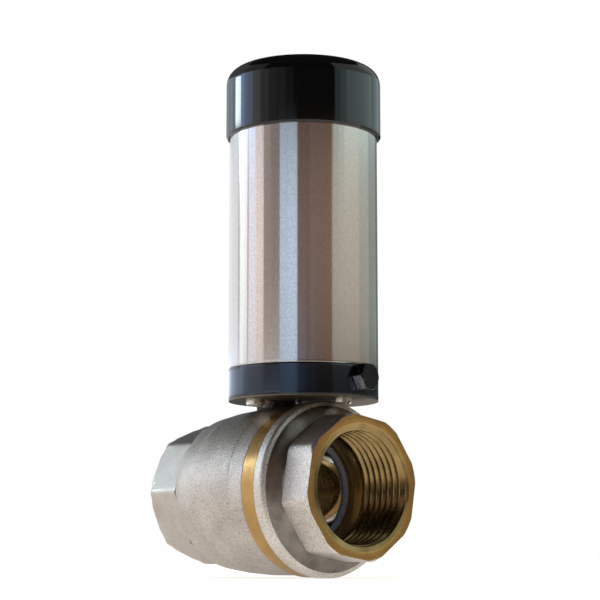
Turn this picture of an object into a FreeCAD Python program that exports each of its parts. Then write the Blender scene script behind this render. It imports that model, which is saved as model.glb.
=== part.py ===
import FreeCAD, Part
import math
import os
import re
import Sketcher

# A motor-driven two-piece ball valve with G1 female ports, in millimetres.
# The origin is the middle of the inlet face. X runs along the pipe axis to the outlet.
# Z points up, along the valve's stem, towards the drive.

Vector = FreeCAD.Vector
Rotation = FreeCAD.Rotation

SIZES = {
    # Valve, lengths along the pipe axis
    "valve_length": 70.0,
    "passage_radius": 12.5,
    "thread_radius": 15.146,
    "thread_cone": 2.0,
    "passage_land": 3.15,
    "mouth_step": 2.304,
    "mouth_depth": 0.8,
    "octagon_flats": 38.0,
    "octagon_face_margin": 0.5,
    "octagon_corner_cut": 1.5,
    "core_inset": 0.1,
    "inlet_octagon": 11.7,
    "outlet_octagon_turn": 13.0,
    "shoulder_step": 0.7,
    "flare_length": 3.3,
    "flare_drop": 1.0,
    "belly_length": 4.0,
    "belly_drop": 0.9,
    "barrel_radius": 23.5,
    "barrel_length": 13.7,
    "joint_setback": 0.1,
    "ring_step": 0.5,
    "ring_width": 5.3,
    "flange_step": 0.2,
    "flange_width": 3.6,
    "flange_edge": 0.6,
    "cone_step": 1.0,
    "cone_length": 3.4,
    "nose_length": 5.3,
    "nose_wall": 1.8,
    "nose_gap": 0.2,
    "cavity_gap": 0.9,
    # Ball, seats and stem
    "ball_wall": 5.0,
    "ball_slot_width": 5.0,
    "ball_slot_depth": 3.0,
    "seat_step": 0.4,
    "seat_drop": 1.3,
    "seat_ledge": 0.9746,
    "seat_front_ledge": 1.1811,
    "seat_gap": 0.08,
    "stem_radius": 3.5,
    "stem_flange_step": 2.0,
    "stem_flange": 1.4,
    "stem_flange_lift": 0.8,
    "stem_square": 5.0,
    "stem_square_length": 7.8,
    "tang_length": 10.0,
    "washer_thickness": 0.7,
    "stem_seal_land": 2.35,
    "stem_seal_pitch": 3.5,
    "stem_groove_depth": 1.5,
    "stem_groove_width": 1.7,
    "stem_seal_thickness": 1.5,
    "neck_wall": 1.5,
    "neck_length": 6.6,
    "vent_gap": 0.16788,
    "nut_wall": 2.2,
    "nut_height": 3.2,
    "nut_slot": 2.0,
    "cap_seal_setback": 2.0,
    "cap_seal_width": 1.6,
    "cap_seal_depth": 1.45,
    "cap_seal_thickness": 1.42,
    "locating_pin_radius": 1.25,
    "locating_pin_offset": 8.2,
    "locating_pin_share": 0.575758,
    # Drive housing, around its own upright axis
    "tube_radius": 21.0,
    "tube_wall": 1.5,
    "tube_length": 82.6,
    "base_clearance": 0.4,
    "base_rim": 0.4,
    "base_thickness": 3.0,
    "collar_height": 8.6,
    "collar_wall": 1.55,
    "collar_shoulder": 1.0,
    "spigot_height": 5.0,
    "spigot_wall": 1.5,
    "spigot_fit": 0.1,
    "collar_groove_depth": 0.85,
    "collar_groove_width": 1.2,
    "collar_seal_thickness": 0.9,
    "lid_wall": 1.05,
    "lid_height": 20.1,
    "lid_thickness": 2.5,
    "lid_edge_radius": 3.0,
    "lid_lip": 0.4,
    "lid_seal_thickness": 1.28,
    "bolt_turn": 9.0,
    "bolt_height": 5.1,
    "bolt_flats": 7.0,
    "bolt_head": 3.2,
    "bolt_radius": 2.0,
    "bolt_depth": 1.9,
    "bolt_tip_chamfer": 0.3,
    "bolt_face_lip": 0.05,
    "bolt_corner_drop": 0.65,
    "grommet_turn": 100.0,
    "grommet_height": 5.0,
    "grommet_radius": 2.7,
    "grommet_flange": 3.4,
    "grommet_reach": 2.2,
    "grommet_chamfer": 0.5,
    "cable_radius": 2.0,
    # Fasteners
    "screw_radius": 1.25,
    "screw_head_radius": 2.5,
    "screw_head": 1.5,
    "screw_slot": 0.7,
    "screw_edge": 0.4,
    "thread_grip": 5.5,
    "screw_reach": 1.0,
    # Stack of spacers, boards and gear plates
    "post_turn": 9.0,
    "post_gap": 0.2,
    "lower_spacer": 7.0,
    "upper_spacer": 5.3,
    "board_thickness": 1.6,
    "sensor_board_gap": 0.4,
    "window_gap": 0.5,
    "plate_gap": 0.3,
    "plate_thickness": 2.0,
    "pillar_radius": 1.9,
    "sensor_length": 4.0,
    "sensor_width": 3.0,
    "sensor_height": 1.0,
    "sensor_gap": 0.3,
    "magnet_radius": 1.25,
    "magnet_length": 1.5,
    # Gear train
    "pinion_teeth": 12,
    "wheel_teeth": 36,
    "output_teeth": 30,
    "tooth_shift": 0.3,
    "pressure_angle": 20.0,
    "backlash": 0.05,
    "wheel_width": 1.2,
    "level_gap": 0.6,
    "output_gear_width": 4.0,
    "gear_floor": 0.7,
    "gear_ceiling": 1.6,
    "pinion_reach": 0.9,
    "second_arbor_turn": -35.0,
    "arbor_radius": 1.0,
    "sleeve_radius": 1.8,
    "hub_radius": 4.6,
    "hub_lift": 0.8,
    "hub_play": 0.3,
    "disc_height": 2.0,
    "disc_gap": 1.7,
    "journal_radius": 4.0,
    "gear_seat_radius": 3.3,
    "upper_journal_radius": 2.5,
    "bush_wall": 1.5,
    "bush_lip": 0.3,
    # Motor
    "motor_wall": 1.0,
    "motor_headroom": 7.0,
    "motor_boss_radius": 3.5,
    "motor_boss": 1.4,
    "motor_bush_radius": 2.5,
    "motor_bush_reach": 1.5,
    "bell_thickness": 2.0,
    "bell_spigot": 0.8,
    "bell_boss_radius": 4.0,
    "bell_boss": 1.2,
    "armature_lift": 5.0,
    "armature_ends": 13.0,
    "armature_slots": 5,
    "armature_slot_width": 1.6,
    "winding_overhang": 2.2,
    "winding_bore": 2.0,
    "winding_inset": 0.8,
    "commutator_radius": 2.6,
    "commutator_length": 3.8,
    "commutator_gap": 0.4,
    "magnet_gap": 0.5,
    "magnet_split": 5.0,
    "magnet_overhang": 2.0,
    "brush_length": 2.8,
    "brush_width": 2.4,
    "brush_height": 2.6,
    "brush_arm": 0.5,
    "motor_screw_turn": 80.0,
    "terminal_width": 2.2,
    "terminal_thickness": 0.5,
    "terminal_length": 8.0,
    # Control board above the motor
    "standoff_turn": 102.0,
    "standoff_radius": 1.8,
    "control_board_gap": 0.9,
    "board_headroom": 22.5,
    "board_screw_radius": 0.95,
    "board_screw_head_radius": 1.9,
    "board_screw_head": 1.4,
    "board_screw_length": 6.0,
    "tap_clearance": 0.5,
    "relay_height": 11.5,
    "capacitor_height": 11.0,
    "block_height": 9.0,
    "block_wires": 4,
    "block_wire_radius": 1.1,
    # Clearances on the radius, and gaps between faces that never touch
    "fit": 0.02,
    "running_fit": 0.03,
    "loose_fit": 0.05,
    "gear_play": 0.1,
    "gap": 0.2,
    # How far a cutting shape passes through the face it cuts
    "over": 1.0,
}

# Sizes inside the drive, for a tube of this radius: they grow and shrink with the tube
NOMINAL_TUBE = 21.0
INNER_SIZES = {
    "post_circle": 14.3,
    "vent_x": -6.4,
    "vent_y": -8.2,
    "magnet_circle": 5.3,
    "disc_radius": 7.0,
    "module": 0.4,
    "last_module": 0.5,
    "motor_offset": 6.0,
    "motor_radius": 12.0,
    "armature_radius": 8.4,
    "armature_slot_depth": 4.4,
    "winding_radius": 7.4,
    "motor_screw_circle": 8.0,
    "terminal_circle": 7.0,
    "standoff_circle": 16.9,
    "relay_length": 15.5,
    "relay_width": 10.5,
    "relay_x": -13.8,
    "relay_y": -3.5,
    "capacitor_radius": 4.0,
    "capacitor_x": 10.5,
    "capacitor_y": -8.5,
    "block_length": 12.0,
    "block_width": 7.5,
    "block_x": -8.5,
    "block_y": -14.5,
}

DERIVED = {
    "stem_x": "valve_length / 2",
    "mouth_radius": "thread_radius + mouth_step",
    "octagon_corner": "octagon_flats / 2 / cos(22.5)",
    "octagon_core": "octagon_flats / 2 - core_inset",
    "ball_radius": "passage_radius + ball_wall",
    "octagon_face_radius": "octagon_flats / 2 + octagon_face_margin",
    "shoulder_radius": "octagon_flats / 2 + shoulder_step",
    "belly_radius": "barrel_radius - belly_drop",
    "flare_radius": "belly_radius - flare_drop",
    "ring_radius": "barrel_radius + ring_step",
    "flange_radius": "ring_radius + flange_step",
    "cone_radius": "flange_radius - cone_step",
    "cavity_radius": "ball_radius + cavity_gap",
    "nose_radius": "cavity_radius + nose_wall",
    "seat_inner": "passage_radius + seat_step",
    "seat_outer": "ball_radius - seat_drop",
    "seat_back": "sqrt(ball_radius * ball_radius - seat_inner * seat_inner) + seat_ledge",
    "seat_front": "sqrt(ball_radius * ball_radius - seat_outer * seat_outer) + seat_front_ledge",
    "seat_length": "seat_back - seat_front",
    "seat_pocket": "seat_outer + loose_fit",
    "pocket_back": "seat_back + loose_fit",
    "pocket_front": "seat_back - seat_length",
    "thread_depth": "stem_x - pocket_back - passage_land - thread_cone",
    "joint_x": "stem_x + seat_back - joint_setback",
    "barrel_start": "joint_x - barrel_length",
    "nose_x": "joint_x - nose_length",
    "cap_seal_start": "nose_x + cap_seal_setback",
    "cap_seal_end": "cap_seal_start + cap_seal_width",
    "ring_end": "joint_x + ring_width",
    "flange_end": "ring_end + flange_width",
    "stem_flange_radius": "stem_radius + stem_flange_step",
    "stem_flange_height": "ball_radius + stem_flange_lift",
    "washer_top": "stem_flange_height + stem_flange + loose_fit + washer_thickness + loose_fit",
    "stem_seal_lower": "washer_top + stem_seal_land",
    "stem_seal_upper": "stem_seal_lower + stem_seal_pitch",
    "stem_groove_radius": "stem_radius - stem_groove_depth",
    "base_height": "flange_radius + base_clearance",
    "neck_radius": "stem_radius + neck_wall",
    "neck_height": "base_height + neck_length",
    "vent_offset": "tube_x + vent_x - stem_x",
    "boss_radius": "sqrt(vent_offset * vent_offset + vent_y * vent_y) - screw_head_radius - vent_gap",
    "nut_radius": "neck_radius + nut_wall",
    "stem_top": "neck_height + stem_square_length",
    "tube_x": "first_arbor_x",
    "tube_inside": "tube_radius - tube_wall",
    "base_top": "base_height + base_thickness",
    "locating_pin_bottom": "nose_radius + locating_pin_share * (barrel_radius - nose_radius)",
    "collar_bottom": "base_height + base_rim",
    "collar_top": "collar_bottom + collar_height",
    "collar_inside": "tube_radius - collar_wall",
    "spigot_radius": "tube_inside - spigot_fit",
    "spigot_inside": "spigot_radius - spigot_wall",
    "tube_top": "collar_top + tube_length",
    "bolt_face": "tube_radius + bolt_head",
    "post_radius": "spigot_inside - post_circle - post_gap",
    "bolt_end": "post_circle + post_radius - bolt_depth",
    "sensor_board_radius": "spigot_inside - sensor_board_gap",
    "plate_radius": "tube_inside - plate_gap",
    "control_board_radius": "tube_inside - control_board_gap",
    "lid_inside": "tube_radius + loose_fit",
    "lid_radius": "lid_inside + lid_wall",
    "lid_ceiling": "tube_top + lid_seal_thickness + fit",
    "lid_top": "lid_ceiling + lid_thickness",
    "lid_bottom": "lid_top - lid_height",
    "sensor_board_z": "base_top + lower_spacer",
    "sensor_board_top": "sensor_board_z + board_thickness",
    "lower_plate_z": "sensor_board_top + upper_spacer",
    "lower_plate_top": "lower_plate_z + plate_thickness",
    "gear_start": "lower_plate_top + gear_floor",
    "level": "wheel_width + level_gap",
    "first_wheel": "gear_start + output_gear_width + level_gap",
    "last_wheel": "first_wheel + 3 * level",
    "upper_plate_z": "last_wheel + wheel_width + gear_ceiling",
    "upper_plate_top": "upper_plate_z + plate_thickness",
    "train_distance": "module * (pinion_teeth + wheel_teeth) / 2",
    "output_distance": "last_module * (pinion_teeth + output_teeth) / 2",
    "first_arbor_x": "stem_x + output_distance",
    "second_arbor_x": "first_arbor_x + train_distance * cos(second_arbor_turn)",
    "second_arbor_y": "train_distance * sin(second_arbor_turn)",
    "motor_turn": "second_arbor_turn + acos(motor_offset / 2 / train_distance) / 1deg",
    "motor_x": "first_arbor_x + motor_offset * cos(motor_turn)",
    "motor_y": "motor_offset * sin(motor_turn)",
    "pinion_bottom": "last_wheel - gap",
    "pinion_top": "last_wheel + wheel_width + pinion_reach",
    "control_board_z": "lid_ceiling - board_headroom",
    "motor_length": "control_board_z - motor_headroom - upper_plate_top",
    "armature_length": "motor_length - armature_ends",
    "motor_top": "upper_plate_top + motor_length",
    "bell_top": "motor_top + bell_thickness",
    "armature_bottom": "upper_plate_top + armature_lift",
    "armature_top": "armature_bottom + armature_length",
    "commutator_bottom": "armature_top + winding_overhang + commutator_gap",
    "magnet_inner": "armature_radius + magnet_gap",
    "magnet_outer": "motor_radius - motor_wall - loose_fit",
    "sensor_circle": "hub_radius + sensor_gap + sensor_length / 2",
    "disc_bottom": "sensor_board_top + disc_gap",
    "hub_bottom": "neck_height + hub_lift",
    "hub_top": "lower_plate_z - hub_play",
    "control_board_top": "control_board_z + board_thickness",
}

NAMES = set(SIZES) | set(INNER_SIZES) | set(DERIVED)
WORD = re.compile(r"[a-z][a-z_]*")

doc = FreeCAD.newDocument("motor_valve")
sheet = doc.addObject("Spreadsheet::Sheet", "Sizes")
nodes = []


def fill_sheet():
    """The driving sizes as plain numbers, then the sizes that follow from them as formulas."""
    rows = [(name, str(value)) for name, value in SIZES.items()]
    rows += [(name, "=%s * tube_radius / %s" % (value, NOMINAL_TUBE)) for name, value in INNER_SIZES.items()]
    rows += [(name, "=" + formula) for name, formula in DERIVED.items()]
    for row, (name, text) in enumerate(rows, start=1):
        sheet.set("A%d" % row, name)
        sheet.set("B%d" % row, text)
        sheet.setAlias("B%d" % row, name)
    doc.recompute()


def bound(text):
    """The text as an expression in which every size is read from the sheet."""
    return WORD.sub(lambda word: ("Sizes." if word.group(0) in NAMES else "") + word.group(0), str(text))


def size(text):
    """The number that an expression on the sizes comes to."""
    result = sheet.evalExpression(bound(text))
    return float(getattr(result, "Value", result))


def bind(thing, prop, text):
    thing.setExpression(prop, bound(text))


def place(thing, x=0, y=0, z=0, rotation=None):
    """Puts a thing at a point given by expressions, so that it follows the sheet."""
    thing.Placement = FreeCAD.Placement(Vector(size(x), size(y), size(z)), rotation or Rotation())
    for letter, text in zip("xyz", (x, y, z)):
        bind(thing, "Placement.Base." + letter, text)
    return thing


def keep(thing, label):
    """Names a finished sub-part, which is then written to its own file."""
    thing.Label = label
    nodes.append(thing)
    return thing


UP = Vector(0, 0, 1)
ALONG_X = Rotation(Vector(0, 1, 0), 90)


def around(circle, angle, centre="tube_x"):
    """The x and y expressions of a point on a circle round an upright axis on the centre plane."""
    return "%s + (%s) * cos(%s)" % (centre, circle, angle), "(%s) * sin(%s)" % (circle, angle)


def outline(body, name, plane, corners):
    """A closed sketch through corners given by expressions.

    A corner's third item is the radius of an arc to the next corner: its centre lies to the
    left of the way there, or to the right if the radius is negative.
    """
    sketch = body.newObject("Sketcher::SketchObject", name)
    support = [feature for feature in body.Origin.OriginFeatures if feature.Role == plane][0]
    sketch.AttachmentSupport = [(support, "")]
    sketch.MapMode = "FlatFace"
    spots = [Vector(size(corner[0]), size(corner[1]), 0) for corner in corners]
    count = len(corners)
    ends = []
    for index, corner in enumerate(corners):
        start = spots[index]
        finish = spots[(index + 1) % count]
        if len(corner) == 2:
            sketch.addGeometry(Part.LineSegment(start, finish), False)
            ends.append((1, 2))
            continue
        radius = size(corner[2])
        chord = finish - start
        left = Vector(-chord.y, chord.x, 0).normalize()
        reach = math.sqrt(max(radius ** 2 - (chord.Length / 2) ** 2, 0))
        centre = (start + finish) * 0.5 + left * math.copysign(reach, radius)
        first, last = (start, finish) if radius > 0 else (finish, start)
        angles = [math.atan2(spot.y - centre.y, spot.x - centre.x) for spot in (first, last)]
        if angles[1] < angles[0]:
            angles[1] += 2 * math.pi
        arc = Part.ArcOfCircle(Part.Circle(centre, UP, abs(radius)), angles[0], angles[1])
        sketch.addGeometry(arc, False)
        ends.append((1, 2) if radius > 0 else (2, 1))
        where = sketch.addConstraint(Sketcher.Constraint("Radius", index, abs(radius)))
        bind(sketch, "Constraints[%d]" % where, "abs(%s)" % corner[2])
    for index in range(count):
        after = (index + 1) % count
        sketch.addConstraint(Sketcher.Constraint("Coincident", index, ends[index][1], after, ends[after][0]))
    for index, corner in enumerate(corners):
        for kind, text in (("DistanceX", corner[0]), ("DistanceY", corner[1])):
            point = (-1, 1, index, ends[index][0])
            where = sketch.addConstraint(Sketcher.Constraint(kind, *point, size(text)))
            bind(sketch, "Constraints[%d]" % where, text)
    return sketch


def revolve(body, kind, name, corners, about):
    """A revolution or groove of an outline on the upright plane, about X (H_Axis) or Z (V_Axis)."""
    sketch = outline(body, name + "_outline", "XZ_Plane", corners)
    feature = body.newObject("PartDesign::" + kind, name)
    feature.Profile = (sketch, [""])
    feature.ReferenceAxis = (sketch, [about])
    feature.Angle = 360
    body.Tip = feature
    return feature


def turned(name, corners, about="V_Axis"):
    """A body turned from one outline of corners: radius and height, or length and radius about X."""
    body = doc.addObject("PartDesign::Body", name)
    revolve(body, "Revolution", name + "_turning", corners, about)
    return body


def ring_corners(inner, outer, bottom, top):
    return [(inner, bottom), (outer, bottom), (outer, top), (inner, top)]


def feature_in(body, kind, name, sizes, x=0, y=0, z=0, rotation=None):
    """A primitive added to a body or taken from it, with its sizes and place from the sheet."""
    feature = body.newObject("PartDesign::" + kind, name)
    for prop, text in sizes.items():
        bind(feature, prop, text)
    place(feature, x, y, z, rotation)
    doc.recompute()
    return feature


def drill(body, name, radius, bottom, top, x=0, y=0):
    """An upright round hole from one height to another, a little past both if they are faces."""
    return feature_in(body, "SubtractiveCylinder", name,
                      {"Radius": radius, "Height": "(%s) - (%s)" % (top, bottom)}, x, y, bottom)


def solid(kind, name, sizes, x=0, y=0, z=0, rotation=None):
    """A free-standing Part primitive with its sizes and place from the sheet."""
    thing = doc.addObject("Part::" + kind, name)
    for prop, text in sizes.items():
        bind(thing, prop, text)
    return place(thing, x, y, z, rotation)


def rod(name, radius, length, x=0, y=0, z=0, rotation=None):
    return solid("Cylinder", name, {"Radius": radius, "Height": length}, x, y, z, rotation)


def box(name, length, width, height, x, y, z):
    """A box with the given sizes, centred on x and y and standing on z."""
    corner_x = "(%s) - (%s) / 2" % (x, length)
    corner_y = "(%s) - (%s) / 2" % (y, width)
    return solid("Box", name, {"Length": length, "Width": width, "Height": height}, corner_x, corner_y, z)


def cut(name, base, *tools):
    """The base with each tool taken out of it in turn."""
    for step, tool in enumerate(tools):
        result = doc.addObject("Part::Cut", name if step == len(tools) - 1 else "%s_%d" % (name, step))
        result.Base = base
        result.Tool = tool
        base = result
    return base


def fused(name, shapes):
    result = doc.addObject("Part::MultiFuse", name)
    result.Shapes = shapes
    return result


def group(label, things):
    """Several identical fasteners or pieces as one sub-part of separate solids."""
    result = doc.addObject("Part::Compound", label)
    result.Links = things
    return keep(result, label)


def pipe_ring(name, inner, outer, start, length):
    """A ring round the pipe axis."""
    whole = rod(name + "_whole", outer, length, start, 0, 0, ALONG_X)
    hollow = rod(name + "_hollow", inner, "(%s) + 2 * over" % length, "(%s) - over" % start, 0, 0, ALONG_X)
    return cut(name, whole, hollow)


def upright_ring(name, inner, outer, bottom, top, x="tube_x", y=0):
    return place(turned(name, ring_corners(inner, outer, bottom, top)), x, y)


def seal(label, ring_radius, thickness, x, z, rotation=None):
    radii = {"Radius1": ring_radius, "Radius2": "(%s) / 2" % thickness}
    return keep(solid("Torus", label, radii, x, 0, z, rotation), label)


fill_sheet()


# Valve body: the inlet octagon, the flaring barrel and the stem's neck, forged as one piece
def octagon(body, name, start, end, turn):
    """An octagonal end with a corner on top, turned about the pipe axis."""
    rotation = Rotation(Vector(1, 0, 0), size(turn)).multiply(ALONG_X)
    prism = feature_in(body, "AdditivePrism", name,
                       {"Circumradius": "octagon_corner", "Height": "(%s) - (%s)" % (end, start)},
                       start, 0, 0, rotation)
    prism.Polygon = 8
    return prism


def corner_cut(body, name, face, inward):
    """The turned chamfer that trims the octagon's corners at an end face."""
    outer = "octagon_corner + core_inset"
    slope = "(%s - octagon_face_radius) / octagon_corner_cut" % outer
    deep = "(%s) + (%d) * octagon_corner_cut" % (face, inward)
    past = "(%s) - (%d) * over" % (face, inward)
    corners = [(past, "octagon_face_radius - over * (%s)" % slope), (deep, outer), (past, outer)]
    revolve(body, "Groove", name, corners, "H_Axis")


valve_body = turned("valve_body", [
    (0, 0),
    (0, "octagon_core"),
    ("inlet_octagon", "shoulder_radius"),
    ("inlet_octagon + flare_length", "flare_radius"),
    ("inlet_octagon + flare_length + belly_length", "belly_radius"),
    ("barrel_start", "barrel_radius"),
    ("joint_x", "barrel_radius"),
    ("joint_x", 0),
], "H_Axis")
octagon(valve_body, "inlet_octagon_block", 0, "inlet_octagon", 0)
corner_cut(valve_body, "inlet_corner_cut", "0", 1)
feature_in(valve_body, "AdditiveCylinder", "stem_boss",
           {"Radius": "boss_radius", "Height": "base_height - cavity_radius - over"},
           "stem_x", 0, "cavity_radius + over")
feature_in(valve_body, "AdditiveCylinder", "stem_neck",
           {"Radius": "neck_radius", "Height": "neck_height - base_height + over"},
           "stem_x", 0, "base_height - over")
revolve(valve_body, "Groove", "inlet_bore", [
    ("-over", 0),
    ("-over", "mouth_radius"),
    (0, "mouth_radius"),
    ("mouth_depth", "thread_radius"),
    ("thread_depth", "thread_radius"),
    ("thread_depth + thread_cone", "passage_radius"),
    ("stem_x - pocket_back", "passage_radius"),
    ("stem_x - pocket_back", "seat_pocket"),
    ("stem_x - pocket_front", "seat_pocket"),
    ("stem_x - pocket_front", "cavity_radius"),
    ("nose_x - nose_gap", "cavity_radius"),
    ("nose_x - nose_gap", "nose_radius + loose_fit"),
    ("joint_x + over", "nose_radius + loose_fit"),
    ("joint_x + over", 0),
], "H_Axis")
drill(valve_body, "stem_bore", "stem_radius + loose_fit", "passage_radius", "neck_height + over", "stem_x")
drill(valve_body, "stem_flange_pocket", "stem_flange_radius + gap", "passage_radius", "washer_top", "stem_x")
drill(valve_body, "pin_hole", "locating_pin_radius + fit", "locating_pin_bottom", "base_height",
      "stem_x + locating_pin_offset")
keep(valve_body, "valve_body")

# End cap: a nose inside the body, a bare machined band, a plated flange and the outlet octagon
end_cap = turned("end_cap", [
    ("nose_x", 0),
    ("nose_x", "nose_radius"),
    ("cap_seal_start", "nose_radius"),
    ("cap_seal_start", "nose_radius - cap_seal_depth"),
    ("cap_seal_end", "nose_radius - cap_seal_depth"),
    ("cap_seal_end", "nose_radius"),
    ("joint_x", "nose_radius"),
    ("joint_x", "ring_radius"),
    ("ring_end", "ring_radius"),
    ("ring_end", "flange_radius"),
    ("flange_end - flange_edge", "flange_radius"),
    ("flange_end", "cone_radius"),
    ("flange_end + cone_length", "octagon_core"),
    ("valve_length", "octagon_core"),
    ("valve_length", 0),
], "H_Axis")
octagon(end_cap, "outlet_octagon_block", "flange_end", "valve_length", "outlet_octagon_turn")
corner_cut(end_cap, "outlet_corner_cut", "valve_length", -1)
revolve(end_cap, "Groove", "outlet_bore", [
    ("nose_x - over", 0),
    ("nose_x - over", "seat_pocket"),
    ("stem_x + pocket_back", "seat_pocket"),
    ("stem_x + pocket_back", "passage_radius"),
    ("valve_length - thread_depth - thread_cone", "passage_radius"),
    ("valve_length - thread_depth", "thread_radius"),
    ("valve_length - mouth_depth", "thread_radius"),
    ("valve_length", "mouth_radius"),
    ("valve_length + over", "mouth_radius"),
    ("valve_length + over", 0),
], "H_Axis")
keep(end_cap, "end_cap")
seal("end_cap_o_ring", "nose_radius + fit - cap_seal_thickness / 2", "cap_seal_thickness",
     "cap_seal_start + cap_seal_width / 2", 0, ALONG_X)

# Ball with its bore along the pipe and the stem's slot across its top
ball_whole = solid("Sphere", "ball_whole", {"Radius": "ball_radius"}, "stem_x")
ball_bore = rod("ball_bore", "passage_radius", "2 * ball_radius", "stem_x - ball_radius", 0, 0, ALONG_X)
ball_slot = box("ball_slot", "ball_slot_width", "2 * ball_radius", "ball_slot_depth + over",
                "stem_x", 0, "ball_radius - ball_slot_depth")
keep(cut("ball", ball_whole, ball_bore, ball_slot), "ball")

# Seat rings on both sides of the ball, hollowed to its sphere
for side, name in ((-1, "seat_ring_inlet"), (1, "seat_ring_outlet")):
    near = "stem_x - seat_back" if side < 0 else "stem_x + seat_back - seat_length"
    blank = pipe_ring(name + "_blank", "seat_inner", "seat_outer", near, "seat_length")
    sphere = solid("Sphere", name + "_sphere", {"Radius": "ball_radius + seat_gap"}, "stem_x")
    keep(cut(name, blank, sphere), name)

# Stem: a tang in the ball's slot, a flange that can't blow out, two seal grooves and a square top
stem = turned("stem", [
    (0, "stem_flange_height"),
    ("stem_flange_radius", "stem_flange_height"),
    ("stem_flange_radius", "stem_flange_height + stem_flange"),
    ("stem_radius", "stem_flange_height + stem_flange"),
    ("stem_radius", "stem_seal_lower - stem_groove_width / 2"),
    ("stem_groove_radius", "stem_seal_lower - stem_groove_width / 2"),
    ("stem_groove_radius", "stem_seal_lower + stem_groove_width / 2"),
    ("stem_radius", "stem_seal_lower + stem_groove_width / 2"),
    ("stem_radius", "stem_seal_upper - stem_groove_width / 2"),
    ("stem_groove_radius", "stem_seal_upper - stem_groove_width / 2"),
    ("stem_groove_radius", "stem_seal_upper + stem_groove_width / 2"),
    ("stem_radius", "stem_seal_upper + stem_groove_width / 2"),
    ("stem_radius", "neck_height + gap"),
    (0, "neck_height + gap"),
])
feature_in(stem, "AdditiveBox", "stem_tang",
           {"Length": "ball_slot_width - gap", "Width": "tang_length",
            "Height": "stem_flange_height + stem_flange / 2 - ball_radius + ball_slot_depth - gap"},
           "(gap - ball_slot_width) / 2", "-tang_length / 2", "ball_radius - ball_slot_depth + gap")
feature_in(stem, "AdditiveBox", "stem_square",
           {"Length": "stem_square", "Width": "stem_square", "Height": "stem_top - neck_height"},
           "-stem_square / 2", "-stem_square / 2", "neck_height")
keep(place(stem, "stem_x"), "stem")
keep(upright_ring("stem_thrust_washer", "stem_radius + loose_fit", "stem_flange_radius",
                  "washer_top - loose_fit - washer_thickness", "washer_top - loose_fit", "stem_x"),
     "stem_thrust_washer")
for name, height in (("stem_o_ring_lower", "stem_seal_lower"), ("stem_o_ring_upper", "stem_seal_upper")):
    seal(name, "stem_radius + fit - stem_seal_thickness / 2", "stem_seal_thickness", "stem_x", height)

# Base plate on the stem's boss, held by a slotted ring nut and kept from turning by a pin
base_plate = turned("base_plate", [
    (0, "base_height"),
    ("tube_radius", "base_height"),
    ("tube_radius", "collar_bottom"),
    ("collar_inside - loose_fit", "collar_bottom"),
    ("collar_inside - loose_fit", "base_top"),
    (0, "base_top"),
])
drill(base_plate, "neck_hole", "neck_radius + loose_fit", "base_height - over", "base_top + over",
      "stem_x - tube_x")
drill(base_plate, "base_pin_hole", "locating_pin_radius + fit", "base_height - over", "base_top + over",
      "stem_x - tube_x + locating_pin_offset")
drill(base_plate, "vent_hole", "screw_radius + fit", "base_height - over", "base_top + over",
      "vent_x", "vent_y")


def post_angle(index):
    return "post_turn + %d" % (120 * index)


def drill_posts(body, name, radius, bottom, top):
    """A round hole at each of the three posts, made by a polar pattern."""
    x, y = around("post_circle", "post_turn", "0")
    hole = drill(body, name, radius, "(%s) - over" % bottom, "(%s) + over" % top, x, y)
    pattern = body.newObject("PartDesign::PolarPattern", name + "_pattern")
    pattern.Originals = [hole]
    pattern.Axis = ([feature for feature in body.Origin.OriginFeatures if feature.Role == "Z_Axis"][0], [""])
    pattern.Angle = 360
    pattern.Occurrences = 3
    body.Tip = pattern
    doc.recompute()


drill_posts(base_plate, "base_screw_hole", "screw_radius + loose_fit", "base_height", "base_top")
keep(place(base_plate, "tube_x"), "base_plate")
keep(rod("locating_pin", "locating_pin_radius", "base_top - locating_pin_bottom",
         "stem_x + locating_pin_offset", 0, "locating_pin_bottom"), "locating_pin")
nut = turned("mounting_nut",
             ring_corners("neck_radius + fit", "nut_radius", "base_top", "base_top + nut_height"))
feature_in(nut, "SubtractiveBox", "nut_slot_cut",
           {"Length": "2 * (nut_radius + over)", "Width": "nut_slot", "Height": "nut_height"},
           "-nut_radius - over", "-nut_slot / 2", "base_top + nut_height - nut_slot / 2")
keep(place(nut, "stem_x"), "mounting_nut")

# Collar: the black ring that joins the base plate and the tube, with a spigot inside the tube
collar = turned("collar", [
    ("collar_inside", "collar_bottom"),
    ("tube_radius", "collar_bottom"),
    ("tube_radius", "collar_top"),
    ("spigot_radius", "collar_top"),
    ("spigot_radius", "collar_top + spigot_height / 2 - collar_groove_width / 2"),
    ("spigot_radius - collar_groove_depth", "collar_top + spigot_height / 2 - collar_groove_width / 2"),
    ("spigot_radius - collar_groove_depth", "collar_top + spigot_height / 2 + collar_groove_width / 2"),
    ("spigot_radius", "collar_top + spigot_height / 2 + collar_groove_width / 2"),
    ("spigot_radius", "collar_top + spigot_height"),
    ("spigot_inside", "collar_top + spigot_height"),
    ("spigot_inside", "collar_top - collar_shoulder"),
    ("collar_inside", "collar_top - collar_shoulder"),
])


def radial(body, kind, name, sizes, turn, height, start):
    """A primitive whose own axis points outwards from the tube's axis."""
    rotation = Rotation(UP, size(turn)).multiply(ALONG_X)
    x, y = around(start, turn, "0")
    return feature_in(body, kind, name, sizes, x, y, height, rotation)


radial(collar, "SubtractiveCylinder", "bolt_hole",
       {"Radius": "bolt_radius + fit", "Height": "collar_wall + 4 * over"}, "bolt_turn",
       "collar_bottom + bolt_height", "collar_inside - 2 * over")
radial(collar, "SubtractiveCylinder", "grommet_hole",
       {"Radius": "grommet_radius + fit", "Height": "collar_wall + 4 * over"}, "grommet_turn",
       "collar_bottom + grommet_height", "collar_inside - 2 * over")
keep(place(collar, "tube_x"), "collar")
seal("collar_o_ring", "tube_inside - fit - collar_seal_thickness / 2", "collar_seal_thickness",
     "tube_x", "collar_top + spigot_height / 2")


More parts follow.
